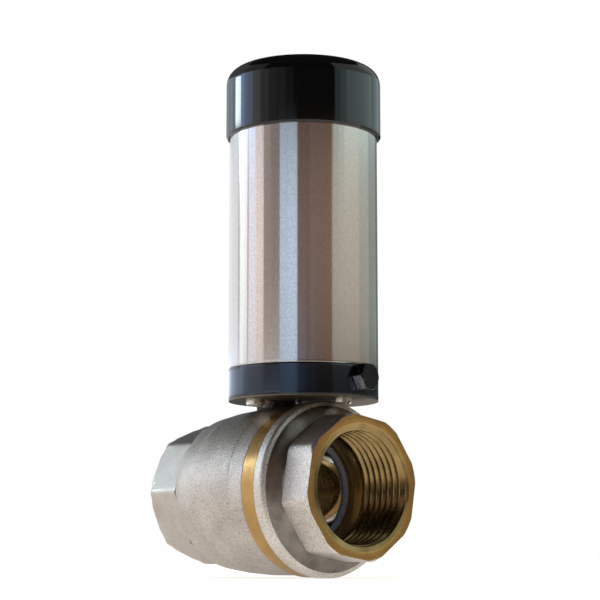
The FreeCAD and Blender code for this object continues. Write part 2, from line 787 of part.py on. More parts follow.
def radial_piece(name, corners, turn, height):
    """A piece turned about a line that points outwards from the tube's axis.

    Its corners are a radius about that line and a distance from the tube's axis.
    """
    body = turned(name, corners)
    rotation = Rotation(UP, size(turn)).multiply(ALONG_X)
    return place(body, "tube_x", 0, height, rotation)


# Hexagon-head bolt through the collar into the post behind it
bolt = radial_piece("collar_bolt", [
    (0, "bolt_end"),
    ("bolt_radius - bolt_tip_chamfer", "bolt_end"),
    ("bolt_radius", "bolt_end + bolt_tip_chamfer"),
    ("bolt_radius", "tube_radius + over / 2"),
    (0, "tube_radius + over / 2"),
], "bolt_turn", "collar_bottom + bolt_height")
head = feature_in(bolt, "AdditivePrism", "bolt_head_block",
                  {"Circumradius": "bolt_flats / 2 / cos(30)", "Height": "bolt_head - fit"},
                  0, 0, "tube_radius + fit", Rotation(UP, 30))
head.Polygon = 6
revolve(bolt, "Groove", "bolt_head_corners", [
    ("bolt_flats / 2 - core_inset", "bolt_face + over"),
    ("bolt_flats / 2 - core_inset", "bolt_face - bolt_face_lip"),
    ("bolt_flats / 2 + over", "bolt_face - bolt_face_lip - bolt_corner_drop"),
    ("bolt_flats / 2 + over", "bolt_face + over"),
], "V_Axis")
keep(bolt, "collar_bolt")

# Cable grommet at the back of the collar
keep(radial_piece("cable_grommet", [
    ("cable_radius", "collar_inside"),
    ("grommet_radius", "collar_inside"),
    ("grommet_radius", "tube_radius + fit"),
    ("grommet_flange", "tube_radius + fit"),
    ("grommet_flange", "tube_radius + grommet_reach / 2"),
    ("grommet_flange - grommet_chamfer", "tube_radius + grommet_reach"),
    ("cable_radius", "tube_radius + grommet_reach"),
], "grommet_turn", "collar_bottom + grommet_height"), "cable_grommet")

# Housing tube and its moulded lid
keep(upright_ring("housing_tube", "tube_inside", "tube_radius", "collar_top", "tube_top"), "housing_tube")
lid = turned("top_cover", [
    (0, "lid_ceiling"),
    ("lid_inside", "lid_ceiling"),
    ("lid_inside", "lid_bottom"),
    ("lid_radius - lid_lip", "lid_bottom"),
    ("lid_radius", "lid_bottom + lid_lip"),
    ("lid_radius", "lid_top - lid_edge_radius", "lid_edge_radius"),
    ("lid_radius - lid_edge_radius", "lid_top"),
    (0, "lid_top"),
])
keep(place(lid, "tube_x"), "top_cover")
seal("top_cover_o_ring", "tube_radius - tube_wall / 2", "lid_seal_thickness", "tube_x",
     "tube_top + lid_seal_thickness / 2 + fit / 2")


def slot(screw, name, head_radius, bottom):
    """The slot across a screw's head."""
    sizes = {"Length": "2 * (%s + over)" % head_radius, "Width": "screw_slot", "Height": "screw_slot + over"}
    feature_in(screw, "SubtractiveBox", name + "_slot", sizes, "-%s - over" % head_radius,
               "-screw_slot / 2", bottom)


def pan_screw(name, x, y, head_bottom, seat, tip, radius, head_radius, slot_down=True):
    """A slotted screw: its head lies between head_bottom and seat, and its thread ends at tip."""
    low, high = (head_bottom, seat) if slot_down else (seat, head_bottom)
    screw = turned(name, [
        (0, head_bottom),
        ("%s - screw_edge" % head_radius, head_bottom),
        (head_radius, "%s %s screw_edge" % (head_bottom, "+" if slot_down else "-")),
        (head_radius, seat),
        (radius, seat),
        (radius, tip),
        (0, tip),
    ])
    slot_z = "%s - over" % low if slot_down else "%s - screw_slot" % high
    slot(screw, name, head_radius, slot_z)
    return place(screw, x, y)


def flat_screw(name, x, y, top, tip, head_radius, upward=True):
    """A countersunk screw, flush with the face at top; its thread ends at tip."""
    depth = "(%s - screw_radius)" % head_radius
    neck = "%s - %s" % (top, depth) if upward else "%s + %s" % (top, depth)
    screw = turned(name, [
        (0, top),
        (head_radius, top),
        ("screw_radius", neck),
        ("screw_radius", tip),
        (0, tip),
    ])
    slot_z = "%s - screw_slot" % top if upward else "%s - over" % top
    slot(screw, name, head_radius, slot_z)
    return place(screw, x, y)


# Long screws from below the base plate, through the spacers and the lower gear plate
group("base_screws", [
    pan_screw("base_screw_%d" % index, *around("post_circle", post_angle(index)), "base_height - screw_head",
              "base_height", "lower_plate_top + thread_grip", "screw_radius", "screw_head_radius")
    for index in range(3)
])
keep(pan_screw("vent_screw", "tube_x + vent_x", "vent_y", "base_height - screw_head", "base_height",
               "base_top", "screw_radius", "screw_head_radius"), "vent_screw")


def post(name, radius, bore, bottom, top, index):
    return upright_ring(name, bore, radius, bottom, top, *around("post_circle", post_angle(index)))


lower_posts = [post("lower_spacer_%d" % index, "post_radius", "screw_radius + loose_fit",
                    "base_top", "sensor_board_z", index) for index in range(3)]
bolt_tap = rod("bolt_tap", "bolt_radius + fit", "post_radius + over",
               *around("bolt_end - loose_fit", "bolt_turn"), "collar_bottom + bolt_height",
               Rotation(UP, size("bolt_turn")).multiply(ALONG_X))
group("lower_spacers", [cut("tapped_spacer", lower_posts[0], bolt_tap)] + lower_posts[1:])
group("upper_spacers", [post("upper_spacer_%d" % index, "post_radius", "screw_radius + loose_fit",
                             "sensor_board_top", "lower_plate_z", index) for index in range(3)])
group("gearbox_pillars", [post("gearbox_pillar_%d" % index, "pillar_radius", "screw_radius + fit",
                               "lower_plate_top", "upper_plate_z", index) for index in range(3)])
group("gearbox_screws", [flat_screw("gearbox_screw_%d" % index, *around("post_circle", post_angle(index)),
                                    "upper_plate_top", "upper_plate_z - thread_grip", "screw_head_radius")
                         for index in range(3)])


# Round plates and boards: a disc with its screw holes
def disc(name, radius, bottom, top):
    return turned(name, [(0, bottom), (radius, bottom), (radius, top), (0, top)])


sensor_board = disc("sensor_board", "sensor_board_radius", "sensor_board_z", "sensor_board_top")
drill(sensor_board, "hub_window", "hub_radius + window_gap", "sensor_board_z - over",
      "sensor_board_top + over", "stem_x - tube_x")
drill_posts(sensor_board, "sensor_board_holes", "screw_radius + loose_fit", "sensor_board_z",
            "sensor_board_top")
keep(place(sensor_board, "tube_x"), "sensor_board")
sensors = []
for index, turn in enumerate(("0", "-90")):
    x, y = around("sensor_circle", turn, "stem_x")
    sensors.append(box("hall_sensor_%d" % index, "sensor_width", "sensor_length", "sensor_height",
                       x, y, "sensor_board_top"))
group("hall_sensors", sensors)

lower_plate = disc("gearbox_lower_plate", "plate_radius", "lower_plate_z", "lower_plate_top")
upper_plate = disc("gearbox_upper_plate", "plate_radius", "upper_plate_z", "upper_plate_top")


def drill_plate(plate, name, radius, x, y=0):
    """A hole right through a gear plate; x and y are places in the valve's own frame."""
    which = "lower" if plate is lower_plate else "upper"
    drill(plate, name, radius, which + "_plate_z - over", which + "_plate_top + over", "(%s) - tube_x" % x, y)


drill_plate(lower_plate, "lower_bush_hole", "journal_radius + bush_wall + fit", "stem_x")
drill_plate(upper_plate, "upper_bush_hole", "upper_journal_radius + bush_wall + fit", "stem_x")
for plate, name in ((lower_plate, "lower"), (upper_plate, "upper")):
    drill_plate(plate, name + "_first_arbor_hole", "arbor_radius + fit", "first_arbor_x")
    drill_plate(plate, name + "_second_arbor_hole", "arbor_radius + fit", "second_arbor_x", "second_arbor_y")
drill_plate(upper_plate, "motor_boss_hole", "motor_boss_radius + loose_fit", "motor_x", "motor_y")
drill_posts(lower_plate, "lower_plate_posts", "screw_radius + loose_fit", "lower_plate_z", "lower_plate_top")
drill_posts(upper_plate, "upper_plate_posts", "screw_radius + loose_fit", "upper_plate_z", "upper_plate_top")


def countersink(plate, name, x, y, upward):
    """The conical seat of a countersunk screw in the upper plate's top or bottom face."""
    depth = "(screw_head_radius - screw_radius)"
    bottom = "upper_plate_top - %s" % depth if upward else "upper_plate_z"
    radii = ("screw_radius + loose_fit", "screw_head_radius + loose_fit")
    small, large = radii if upward else radii[::-1]
    feature_in(plate, "SubtractiveCone", name, {"Radius1": small, "Radius2": large, "Height": depth},
               "(%s) - tube_x" % x, y, bottom)


for index in range(3):
    x, y = around("post_circle", post_angle(index))
    countersink(upper_plate, "post_countersink_%d" % index, x, y, True)
motor_screws = []
for index in range(2):
    x = "motor_x + motor_screw_circle * cos(motor_screw_turn + %d)" % (180 * index)
    y = "motor_y + motor_screw_circle * sin(motor_screw_turn + %d)" % (180 * index)
    drill_plate(upper_plate, "motor_screw_hole_%d" % index, "screw_radius + loose_fit", x, y)
    countersink(upper_plate, "motor_countersink_%d" % index, x, y, False)
    motor_screws.append(flat_screw("motor_screw_%d" % index, x, y, "upper_plate_z",
                                   "upper_plate_top + motor_wall + screw_reach", "screw_head_radius", False))
for index in range(3):
    x, y = around("standoff_circle", "standoff_turn + %d" % (120 * index))
    drill_plate(upper_plate, "standoff_hole_%d" % index, "screw_radius + fit", x, y)
keep(place(lower_plate, "tube_x"), "gearbox_lower_plate")
keep(place(upper_plate, "tube_x"), "gearbox_upper_plate")
group("motor_screws", motor_screws)

# Output shaft: a square socket on the stem, a disc for the position magnet, and two journals
output_shaft = turned("output_shaft", [
    (0, "hub_bottom"),
    ("hub_radius", "hub_bottom"),
    ("hub_radius", "disc_bottom"),
    ("disc_radius", "disc_bottom"),
    ("disc_radius", "disc_bottom + disc_height"),
    ("hub_radius", "disc_bottom + disc_height"),
    ("hub_radius", "hub_top"),
    ("journal_radius", "hub_top"),
    ("journal_radius", "gear_start - gear_play"),
    ("gear_seat_radius", "gear_start - gear_play"),
    ("gear_seat_radius", "gear_start + output_gear_width + gear_play"),
    ("upper_journal_radius", "gear_start + output_gear_width + gear_play"),
    ("upper_journal_radius", "upper_plate_top - gap"),
    (0, "upper_plate_top - gap"),
])
feature_in(output_shaft, "SubtractiveBox", "square_socket",
           {"Length": "stem_square + 2 * loose_fit", "Width": "stem_square + 2 * loose_fit",
            "Height": "stem_top + gap - hub_bottom + over"},
           "-stem_square / 2 - loose_fit", "-stem_square / 2 - loose_fit", "hub_bottom - over")
magnet_x, magnet_y = around("magnet_circle", "0", "0")
drill(output_shaft, "magnet_pocket", "magnet_radius + fit", "disc_bottom - over",
      "disc_bottom + magnet_length", magnet_x, magnet_y)
keep(place(output_shaft, "stem_x"), "output_shaft")
keep(rod("position_magnet", "magnet_radius", "magnet_length", "stem_x + magnet_circle", 0, "disc_bottom"),
     "position_magnet")
keep(upright_ring("output_bush_lower", "journal_radius + running_fit", "journal_radius + bush_wall",
                  "lower_plate_z", "lower_plate_top + bush_lip", "stem_x"), "output_bush_lower")
keep(upright_ring("output_bush_upper", "upper_journal_radius + running_fit",
                  "upper_journal_radius + bush_wall", "upper_plate_z", "upper_plate_top", "stem_x"),
     "output_bush_upper")

# Gear train. Each pinion's teeth are shifted outwards, so that they aren't undercut, and each
# wheel's teeth inwards by as much, so that the distance between the shafts stays the same.
DEDENDUM = 1.25


def tooth_points(teeth, module, shift, phase):
    """The outline of an involute spur gear, as straight runs inside the true flanks."""
    pressure = math.radians(size("pressure_angle"))
    pitch = module * teeth / 2
    base = pitch * math.cos(pressure)
    root = pitch - module * (DEDENDUM - shift)
    tip = pitch + module * (1 + shift)
    half = (module * (math.pi / 2 + 2 * shift * math.tan(pressure)) - size("backlash")) / 2 / pitch

    def involute(angle):
        return math.tan(angle) - angle

    def flank(radius):
        """Half the angle that the tooth covers at this radius."""
        return half + involute(pressure) - involute(math.acos(min(base / max(radius, base), 1)))

    points = []
    for tooth in range(teeth):
        middle = phase + 2 * math.pi * tooth / teeth
        for radius, side in ((root, -1), (pitch, -1), (tip, -1), (tip, 1), (pitch, 1), (root, 1)):
            angle = middle + side * flank(radius)
            points.append(Vector(radius * math.cos(angle), radius * math.sin(angle), 0))
    return points


def toothed(teeth, module, shift, phase, bottom, width):
    """A solid spur gear on the Z axis from a bottom height."""
    points = tooth_points(teeth, module, shift, phase)
    face = Part.Face(Part.makePolygon(points + points[:1]))
    gear = face.extrude(Vector(0, 0, width))
    gear.translate(Vector(0, 0, bottom))
    return gear


def gear_feature(label, solids, bore, x, y):
    """One gear of one or two toothed rims, bored for its shaft."""
    shape = solids[0]
    for other in solids[1:]:
        shape = shape.fuse(other)
    reach = shape.BoundBox
    over = size("over")
    shape = shape.cut(Part.makeCylinder(bore, reach.ZLength + 2 * over, Vector(0, 0, reach.ZMin - over)))
    feature = doc.addObject("Part::Feature", label)
    feature.Shape = shape.removeSplitter()
    place(feature, x, y)
    return keep(feature, label)


def meshing_phase(phase, teeth, mate_teeth, way):
    """The mate's phase where a gear with this phase meshes with it in the direction way."""
    return way + math.pi - (phase - way) * teeth / mate_teeth + math.pi / mate_teeth


small = int(size("pinion_teeth"))
large = int(size("wheel_teeth"))
last = int(size("output_teeth"))
shift = size("tooth_shift")
module = size("module")
last_module = size("last_module")
arbor_bore = size("arbor_radius + running_fit")
arbor_ways = [math.radians(size("second_arbor_turn")), math.radians(size("second_arbor_turn")) + math.pi]

output_rim = toothed(last, last_module, -shift, 0, size("gear_start"), size("output_gear_width"))
gear_feature("output_gear", [output_rim], size("gear_seat_radius + fit"), "stem_x", 0)
phase = meshing_phase(0, last, small, 0)
rims = [toothed(small, last_module, shift, phase, size("gear_start"), size("first_wheel - gear_start"))]
for index in range(4):
    on_first = index % 2 == 0
    wheel_bottom = size("first_wheel + %d * level" % index)
    rims.append(toothed(large, module, -shift, phase, wheel_bottom, size("wheel_width")))
    x, y = ("first_arbor_x", 0) if on_first else ("second_arbor_x", "second_arbor_y")
    gear_feature("compound_gear_%d" % (4 - index), rims, arbor_bore, x, y)
    if index < 3:
        phase = meshing_phase(phase, large, small, arbor_ways[index % 2])
        rims = [toothed(small, module, shift, phase, wheel_bottom - size("gap"), size("level + gap"))]
motor_way = math.atan2(size("motor_y - second_arbor_y"), size("motor_x - second_arbor_x"))
phase = meshing_phase(phase, large, small, motor_way)
gear_feature("motor_pinion", [toothed(small, module, shift, phase, size("pinion_bottom"),
                                      size("pinion_top - pinion_bottom"))],
             size("arbor_radius + fit"), "motor_x", "motor_y")

arbor_length = "upper_plate_top - lower_plate_z - 2 * gap"
group("gear_arbors", [
    rod("first_arbor", "arbor_radius", arbor_length, "first_arbor_x", 0, "lower_plate_z + gap"),
    rod("second_arbor", "arbor_radius", arbor_length, "second_arbor_x", "second_arbor_y",
        "lower_plate_z + gap"),
])
sleeve_ends = [
    ("first_arbor_x", 0, "lower_plate_top", "gear_start - gear_play"),
    ("first_arbor_x", 0, "first_wheel + 2 * level + wheel_width + gap", "upper_plate_z"),
    ("second_arbor_x", "second_arbor_y", "lower_plate_top", "first_wheel - 2 * gap"),
    ("second_arbor_x", "second_arbor_y", "last_wheel + wheel_width + gap", "upper_plate_z"),
]
group("gear_sleeves", [
    upright_ring("gear_sleeve_%d" % index, "arbor_radius + fit", "sleeve_radius", bottom, top, x, y)
    for index, (x, y, bottom, top) in enumerate(sleeve_ends)
])


# Motor: a drawn can with its magnets, an armature on bushes, and brushes on the end bell
def at_motor(body):
    return place(body, "motor_x", "motor_y")


motor_can = turned("motor_can", [
    ("motor_bush_radius + fit", "upper_plate_top - motor_boss"),
    ("motor_boss_radius", "upper_plate_top - motor_boss"),
    ("motor_boss_radius", "upper_plate_top"),
    ("motor_radius", "upper_plate_top"),
    ("motor_radius", "motor_top"),
    ("motor_radius - motor_wall", "motor_top"),
    ("motor_radius - motor_wall", "upper_plate_top + motor_wall"),
    ("motor_bush_radius + fit", "upper_plate_top + motor_wall"),
])
for index in range(2):
    x, y = around("motor_screw_circle", "motor_screw_turn + %d" % (180 * index), "0")
    drill(motor_can, "can_screw_hole_%d" % index, "screw_radius + fit", "upper_plate_top - over",
          "upper_plate_top + motor_wall + over", x, y)
keep(at_motor(motor_can), "motor_can")
end_bell = turned("motor_end_bell", [
    ("motor_bush_radius + fit", "motor_top - bell_spigot"),
    ("motor_radius - motor_wall - loose_fit", "motor_top - bell_spigot"),
    ("motor_radius - motor_wall - loose_fit", "motor_top"),
    ("motor_radius", "motor_top"),
    ("motor_radius", "bell_top"),
    ("bell_boss_radius", "bell_top"),
    ("bell_boss_radius", "bell_top + bell_boss"),
    ("motor_bush_radius + fit", "bell_top + bell_boss"),
])
keep(at_motor(end_bell), "motor_end_bell")
group("motor_bushes", [
    upright_ring("motor_bush_front", "arbor_radius + running_fit", "motor_bush_radius",
                 "upper_plate_top - motor_boss", "upper_plate_top + motor_wall + motor_bush_reach",
                 "motor_x", "motor_y"),
    upright_ring("motor_bush_rear", "arbor_radius + running_fit", "motor_bush_radius",
                 "motor_top - bell_spigot", "bell_top + bell_boss - gap", "motor_x", "motor_y"),
])
keep(rod("motor_shaft", "arbor_radius", "bell_top + bell_boss - pinion_bottom", "motor_x", "motor_y",
         "pinion_bottom"), "motor_shaft")


def armature_slots(body, name, width, bottom, top):
    """The slots between the armature's poles, cut by a polar pattern."""
    height = "(%s) - (%s)" % (top, bottom)
    sizes = {"Length": "armature_slot_depth + 2 * over", "Width": width, "Height": height}
    groove = feature_in(body, "SubtractiveBox", name, sizes, "armature_radius - armature_slot_depth",
                        "-(%s) / 2" % width, bottom)
    pattern = body.newObject("PartDesign::PolarPattern", name + "_pattern")
    pattern.Originals = [groove]
    pattern.Axis = ([feature for feature in body.Origin.OriginFeatures if feature.Role == "Z_Axis"][0], [""])
    pattern.Angle = 360
    pattern.Occurrences = int(size("armature_slots"))
    body.Tip = pattern
    doc.recompute()


core = turned("armature_core", ring_corners("arbor_radius + fit", "armature_radius", "armature_bottom",
                                            "armature_top"))
armature_slots(core, "pole_slot", "armature_slot_width", "armature_bottom - over", "armature_top + over")
keep(at_motor(core), "armature_core")
coils = [
    upright_ring("winding_front", "winding_bore", "winding_radius", "armature_bottom - winding_overhang",
                 "armature_bottom - fit", "motor_x", "motor_y"),
    upright_ring("winding_rear", "winding_bore", "winding_radius", "armature_top + fit",
                 "armature_top + winding_overhang", "motor_x", "motor_y"),
]
for index in range(int(size("armature_slots"))):
    angle = 360 * index / size("armature_slots")
    start = "(armature_radius - armature_slot_depth + gap)"
    bar_width = "(armature_slot_width - gap)"
    bar = solid("Box", "winding_bar_%d" % index,
                {"Length": "armature_slot_depth - gap - winding_inset", "Width": bar_width,
                 "Height": "armature_length + winding_overhang"},
                "motor_x + %s * cos(%g) + %s / 2 * sin(%g)" % (start, angle, bar_width, angle),
                "motor_y + %s * sin(%g) - %s / 2 * cos(%g)" % (start, angle, bar_width, angle),
                "armature_bottom - winding_overhang / 2", Rotation(UP, angle))
    coils.append(bar)
keep(fused("armature_windings", coils), "armature_windings")
keep(upright_ring("commutator", "arbor_radius + fit", "commutator_radius", "commutator_bottom",
                  "commutator_bottom + commutator_length", "motor_x", "motor_y"), "commutator")
magnet_ring = upright_ring("magnet_ring", "magnet_inner", "magnet_outer", "armature_bottom - magnet_overhang",
                           "armature_top + magnet_overhang", "motor_x", "motor_y")
magnet_cut = box("magnet_cut", "2 * motor_radius", "magnet_split",
                 "armature_length + 2 * (magnet_overhang + over)", "motor_x", "motor_y",
                 "armature_bottom - magnet_overhang - over")
keep(cut("motor_magnets", magnet_ring, magnet_cut), "motor_magnets")
brush_middle = "commutator_bottom + commutator_length / 2"
brushes = []
arms = []
for index, side in enumerate((-1, 1)):
    brush_x = "motor_x + %d * (commutator_radius + loose_fit + brush_length / 2)" % side
    brushes.append(box("brush_%d" % index, "brush_length", "brush_width", "brush_height", brush_x, "motor_y",
                       "%s - brush_height / 2" % brush_middle))
    arm_x = "motor_x + %d * (commutator_radius + loose_fit + brush_length + brush_arm / 2)" % side
    arms.append(box("arm_%d" % index, "brush_arm", "brush_width",
                    "motor_top - bell_spigot - (%s) + brush_height / 2" % brush_middle, arm_x, "motor_y",
                    "%s - brush_height / 2" % brush_middle))
group("motor_brushes", brushes)
group("brush_arms", arms)
terminal_places = []
for turn in ("motor_screw_turn", "motor_screw_turn + 180"):
    x, y = around("terminal_circle", turn, "motor_x")
    terminal_places.append((x, "motor_y + " + y))
group("motor_terminals", [
    box("terminal_%d" % index, "terminal_width", "terminal_thickness", "terminal_length", x, y, "bell_top")
    for index, (x, y) in enumerate(terminal_places)
])

# Control board on three standoffs above the motor
standoffs = []
board_screws = []
control_board = disc("circuit_board", "control_board_radius", "control_board_z", "control_board_top")
for index in range(3):
    angle = "standoff_turn + %d" % (120 * index)
    standoff = turned("standoff_%d" % index, [
        (0, "upper_plate_z"),
        ("screw_radius", "upper_plate_z"),
        ("screw_radius", "upper_plate_top"),
        ("standoff_radius", "upper_plate_top"),
        ("standoff_radius", "control_board_z"),
        ("board_screw_radius + fit", "control_board_z"),
        ("board_screw_radius + fit", "control_board_top - board_screw_length - tap_clearance"),
        (0, "control_board_top - board_screw_length - tap_clearance"),
    ])
    standoffs.append(place(standoff, *around("standoff_circle", angle)))
    drill(control_board, "board_hole_%d" % index, "board_screw_radius + loose_fit", "control_board_z - over",
          "control_board_top + over", *around("standoff_circle", angle, "0"))
    board_screws.append(pan_screw("board_screw_%d" % index, *around("standoff_circle", angle),
                                  "control_board_top + board_screw_head", "control_board_top",
                                  "control_board_top - board_screw_length", "board_screw_radius",
                                  "board_screw_head_radius", False))
for index, (x, y) in enumerate(terminal_places):
    feature_in(control_board, "SubtractiveBox", "terminal_slot_%d" % index,
               {"Length": "terminal_width + 2 * loose_fit", "Width": "terminal_thickness + 2 * loose_fit",
                "Height": "board_thickness + 2 * over"},
               "%s - tube_x - terminal_width / 2 - loose_fit" % x,
               "%s - terminal_thickness / 2 - loose_fit" % y, "control_board_z - over")
keep(place(control_board, "tube_x"), "circuit_board")
group("board_standoffs", standoffs)
group("board_screws", board_screws)
keep(box("relay", "relay_width", "relay_length", "relay_height", "tube_x + relay_x + relay_width / 2",
         "relay_y + relay_length / 2", "control_board_top"), "relay")
keep(rod("capacitor", "capacitor_radius", "capacitor_height", "tube_x + capacitor_x", "capacitor_y",
         "control_board_top"), "capacitor")
block = box("block_whole", "block_length", "block_width", "block_height",
            "tube_x + block_x + block_length / 2", "block_y + block_width / 2", "control_board_top")
wire_holes = [rod("wire_hole_%d" % index, "block_wire_radius", "block_height / 2 + over",
                  "tube_x + block_x + block_length * (%d + 1 / 2) / block_wires" % index,
                  "block_y + block_width / 2", "control_board_top + block_height / 2")
              for index in range(int(size("block_wires")))]
keep(cut("terminal_block", block, *wire_holes), "terminal_block")


def check_and_write():
    """Stops at any failed object or broken shape, then writes every sub-part to its own file."""
    doc.recompute()
    faults = [thing.Name for thing in doc.Objects if "Invalid" in thing.State or "Error" in thing.State]
    for node in nodes:
        if node.Shape.isNull() or not node.Shape.isValid() or not node.Shape.Solids:
            faults.append(node.Label)
    if faults:
        raise RuntimeError("failed: " + ", ".join(faults))
    os.makedirs("parts", exist_ok=True)
    for node in nodes:
        node.Shape.exportStep("parts/%s.step" % node.Label)
        low = node.Shape.BoundBox
        print("%-22s %2d solids %9.1f mm3  x %6.2f..%6.2f  y %6.2f..%6.2f  z %6.2f..%6.2f" % (
            node.Label, len(node.Shape.Solids), node.Shape.Volume, low.XMin, low.XMax, low.YMin, low.YMax,
            low.ZMin, low.ZMax))


check_and_write()
print(len(nodes), "nodes")
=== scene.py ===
# %% [markdown]
# # A motor-driven ball valve, dressed for its picture
# The measured parts come from the CAD frame: a forged valve with a screwed-in outlet end, and on top a
# steel tube that holds the drive. They have the right size and place, but plain surfaces. This lesson
# remakes the pieces that the camera sees from near, with threads, rounded forging edges and real finishes.
# Everything is in metres. X runs along the pipe to the outlet, and Z points up along the valve's stem.

import math

import bmesh
import bpy
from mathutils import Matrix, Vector


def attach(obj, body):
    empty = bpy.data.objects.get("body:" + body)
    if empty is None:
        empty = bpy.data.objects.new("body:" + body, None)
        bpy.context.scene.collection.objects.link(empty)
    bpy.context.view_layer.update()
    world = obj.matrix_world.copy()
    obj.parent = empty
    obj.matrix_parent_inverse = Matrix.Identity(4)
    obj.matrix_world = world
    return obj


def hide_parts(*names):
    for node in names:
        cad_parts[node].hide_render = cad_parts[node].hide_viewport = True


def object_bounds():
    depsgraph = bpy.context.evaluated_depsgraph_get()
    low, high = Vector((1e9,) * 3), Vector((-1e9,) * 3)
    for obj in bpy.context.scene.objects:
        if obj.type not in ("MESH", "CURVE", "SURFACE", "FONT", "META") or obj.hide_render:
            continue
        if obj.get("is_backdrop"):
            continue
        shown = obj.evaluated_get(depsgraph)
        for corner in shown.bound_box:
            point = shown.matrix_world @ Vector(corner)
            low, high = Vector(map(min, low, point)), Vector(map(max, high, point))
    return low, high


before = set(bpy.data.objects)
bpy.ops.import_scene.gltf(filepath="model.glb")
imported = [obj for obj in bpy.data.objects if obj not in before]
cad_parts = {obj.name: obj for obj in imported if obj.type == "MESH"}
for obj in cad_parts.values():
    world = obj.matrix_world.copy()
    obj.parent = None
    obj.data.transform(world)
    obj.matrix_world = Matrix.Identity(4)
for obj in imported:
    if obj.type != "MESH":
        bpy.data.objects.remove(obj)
cad_low, cad_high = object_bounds()
mm = 0.001

# %% [markdown]
# ## Objects, nodes and colours
# An object holds data, such as a mesh or a lamp, and shows only once a collection links to it. Shading is
# a tree of nodes. One function adds a node, sets its fields and feeds its inputs, either with a value or
# with another node's output. Colours are written as on a web page, such as #B08040. Those values are sRGB,
# while shaders work in linear light, so one function turns them.

# %% Object helpers
def new_object(name, data):
    """Makes an object for a camera, a lamp or a mesh, and links it to the scene."""
    thing = bpy.data.objects.new(name, data)
    bpy.context.scene.collection.objects.link(thing)
    return thing


def mesh_object(name, bm, materials):
    """Turns a finished bmesh into an object with its materials."""
    thing = new_object(name, bpy.data.meshes.new(name))
    bm.to_mesh(thing.data)
    bm.free()
    for material in materials:
        thing.data.materials.append(material)
    return thing


def aim(thing, direction):
    """Turns a camera or a lamp, which both look along their own -Z, to look along a direction."""
    thing.rotation_mode = "QUATERNION"
    thing.rotation_quaternion = direction.to_track_quat("-Z", "Y")


# %% Colour and node helpers
def linear(colour):
    parts = [int(colour[place:place + 2], 16) / 255 for place in (1, 3, 5)]
    turned = [part / 12.92 if part <= 0.04045 else ((part + 0.055) / 1.055) ** 2.4 for part in parts]
    return (*turned, 1.0)


def add_node(tree, kind, inputs=None, **fields):
    node = tree.nodes.new(kind)
    for field, value in fields.items():
        setattr(node, field, value)
    for socket, value in (inputs or {}).items():
        if isinstance(value, bpy.types.NodeSocket):
            tree.links.new(value, node.inputs[socket])
        else:
            node.inputs[socket].default_value = value
    return node


def blank_material(name):
    material = bpy.data.materials.new(name)
    material.use_nodes = True
    material.node_tree.nodes.clear()
    return material, material.node_tree


print("#808080 is", round(linear("#808080")[0], 3), "in linear light")

# %% [markdown]
# ## Camera
# The photograph was taken from beside the outlet, from slightly under the middle of the part, with a long
# lens. The place and direction below come from matching edges of the CAD model to the photograph. The lens
# value goes with a 36 mm wide sensor, which is Blender's own default.

# %% Camera
CAMERA_PLACE = (0.4171, -0.3156, -0.020)
CAMERA_DIRECTION = Vector((-0.7550, 0.6386, 0.1491))
camera = new_object("camera", bpy.data.cameras.new("camera"))
camera.data.lens = 104.56
camera.data.clip_start = 0.01
camera.location = CAMERA_PLACE
aim(camera, CAMERA_DIRECTION)
bpy.context.scene.camera = camera
bpy.context.scene.view_settings.view_transform = "Standard"
print("camera", [round(value, 3) for value in camera.location], "lens", camera.data.lens)

# %% [markdown]
# ## Background
# The photograph stands on pure white. Light Path tells which kind of ray asks: rays from the camera, and
# rays that metal or glass reflect, see a white world, while the light that the world throws on the part
# stays softer.

# %% World
world = bpy.data.worlds.new("studio")
bpy.context.scene.world = world
world.use_nodes = True
tree = world.node_tree
tree.nodes.clear()
path = add_node(tree, "ShaderNodeLightPath")
seen = add_node(tree, "ShaderNodeMath", {0: path.outputs["Is Camera Ray"], 1: path.outputs["Is Glossy Ray"]},
                operation="MAXIMUM")
seen = add_node(tree, "ShaderNodeMath", {0: seen.outputs[0], 1: path.outputs["Is Transmission Ray"]},
                operation="MAXIMUM")
room_light = add_node(tree, "ShaderNodeBackground", {"Color": linear("#F4F2F0"), "Strength": 0.55})
white_paper = add_node(tree, "ShaderNodeBackground", {"Color": linear("#FFFFFF"), "Strength": 1.0})
mixed = add_node(tree, "ShaderNodeMixShader", {0: seen.outputs[0], 1: room_light.outputs[0],
                                               2: white_paper.outputs[0]})
add_node(tree, "ShaderNodeOutputWorld", {"Surface": mixed.outputs[0]})
print("world", world.name)

# %% [markdown]
# ## Floor
# The floor is plain pale paper. It adds a glow for the camera, and half of it for mirrors, so that it
# reads white but keeps the shadow. The glow is weaker near the part, where the shadow lies.

# %% Floor
FLOOR_HEIGHT = cad_low[2] - 0.05 * mm
FLOOR_SIZE = 3.0
SHADOW_END, WHITE_START = 0.07, 0.30
NEAR_GLOW, FAR_GLOW = 0.62, 1.0
MIRRORED_SHARE = 0.5
material, tree = blank_material("white_table_paper")
path = add_node(tree, "ShaderNodeLightPath")
paper = add_node(tree, "ShaderNodeBsdfDiffuse", {"Color": linear("#EDE2D9")})
where = add_node(tree, "ShaderNodeTexCoord")
away = add_node(tree, "ShaderNodeVectorMath", {0: where.outputs["Object"]}, operation="LENGTH")
rise = add_node(tree, "ShaderNodeMapRange", {"Value": away.outputs["Value"], "From Min": SHADOW_END,
                                             "From Max": WHITE_START, "To Min": NEAR_GLOW,
                                             "To Max": FAR_GLOW})
glow = add_node(tree, "ShaderNodeEmission", {"Color": linear("#FAFEFF"), "Strength": rise.outputs[0]})
lifted = add_node(tree, "ShaderNodeAddShader", {0: paper.outputs[0], 1: glow.outputs[0]})
mirrored = add_node(tree, "ShaderNodeMath", {0: path.outputs["Is Glossy Ray"], 1: MIRRORED_SHARE},
                    operation="MULTIPLY")
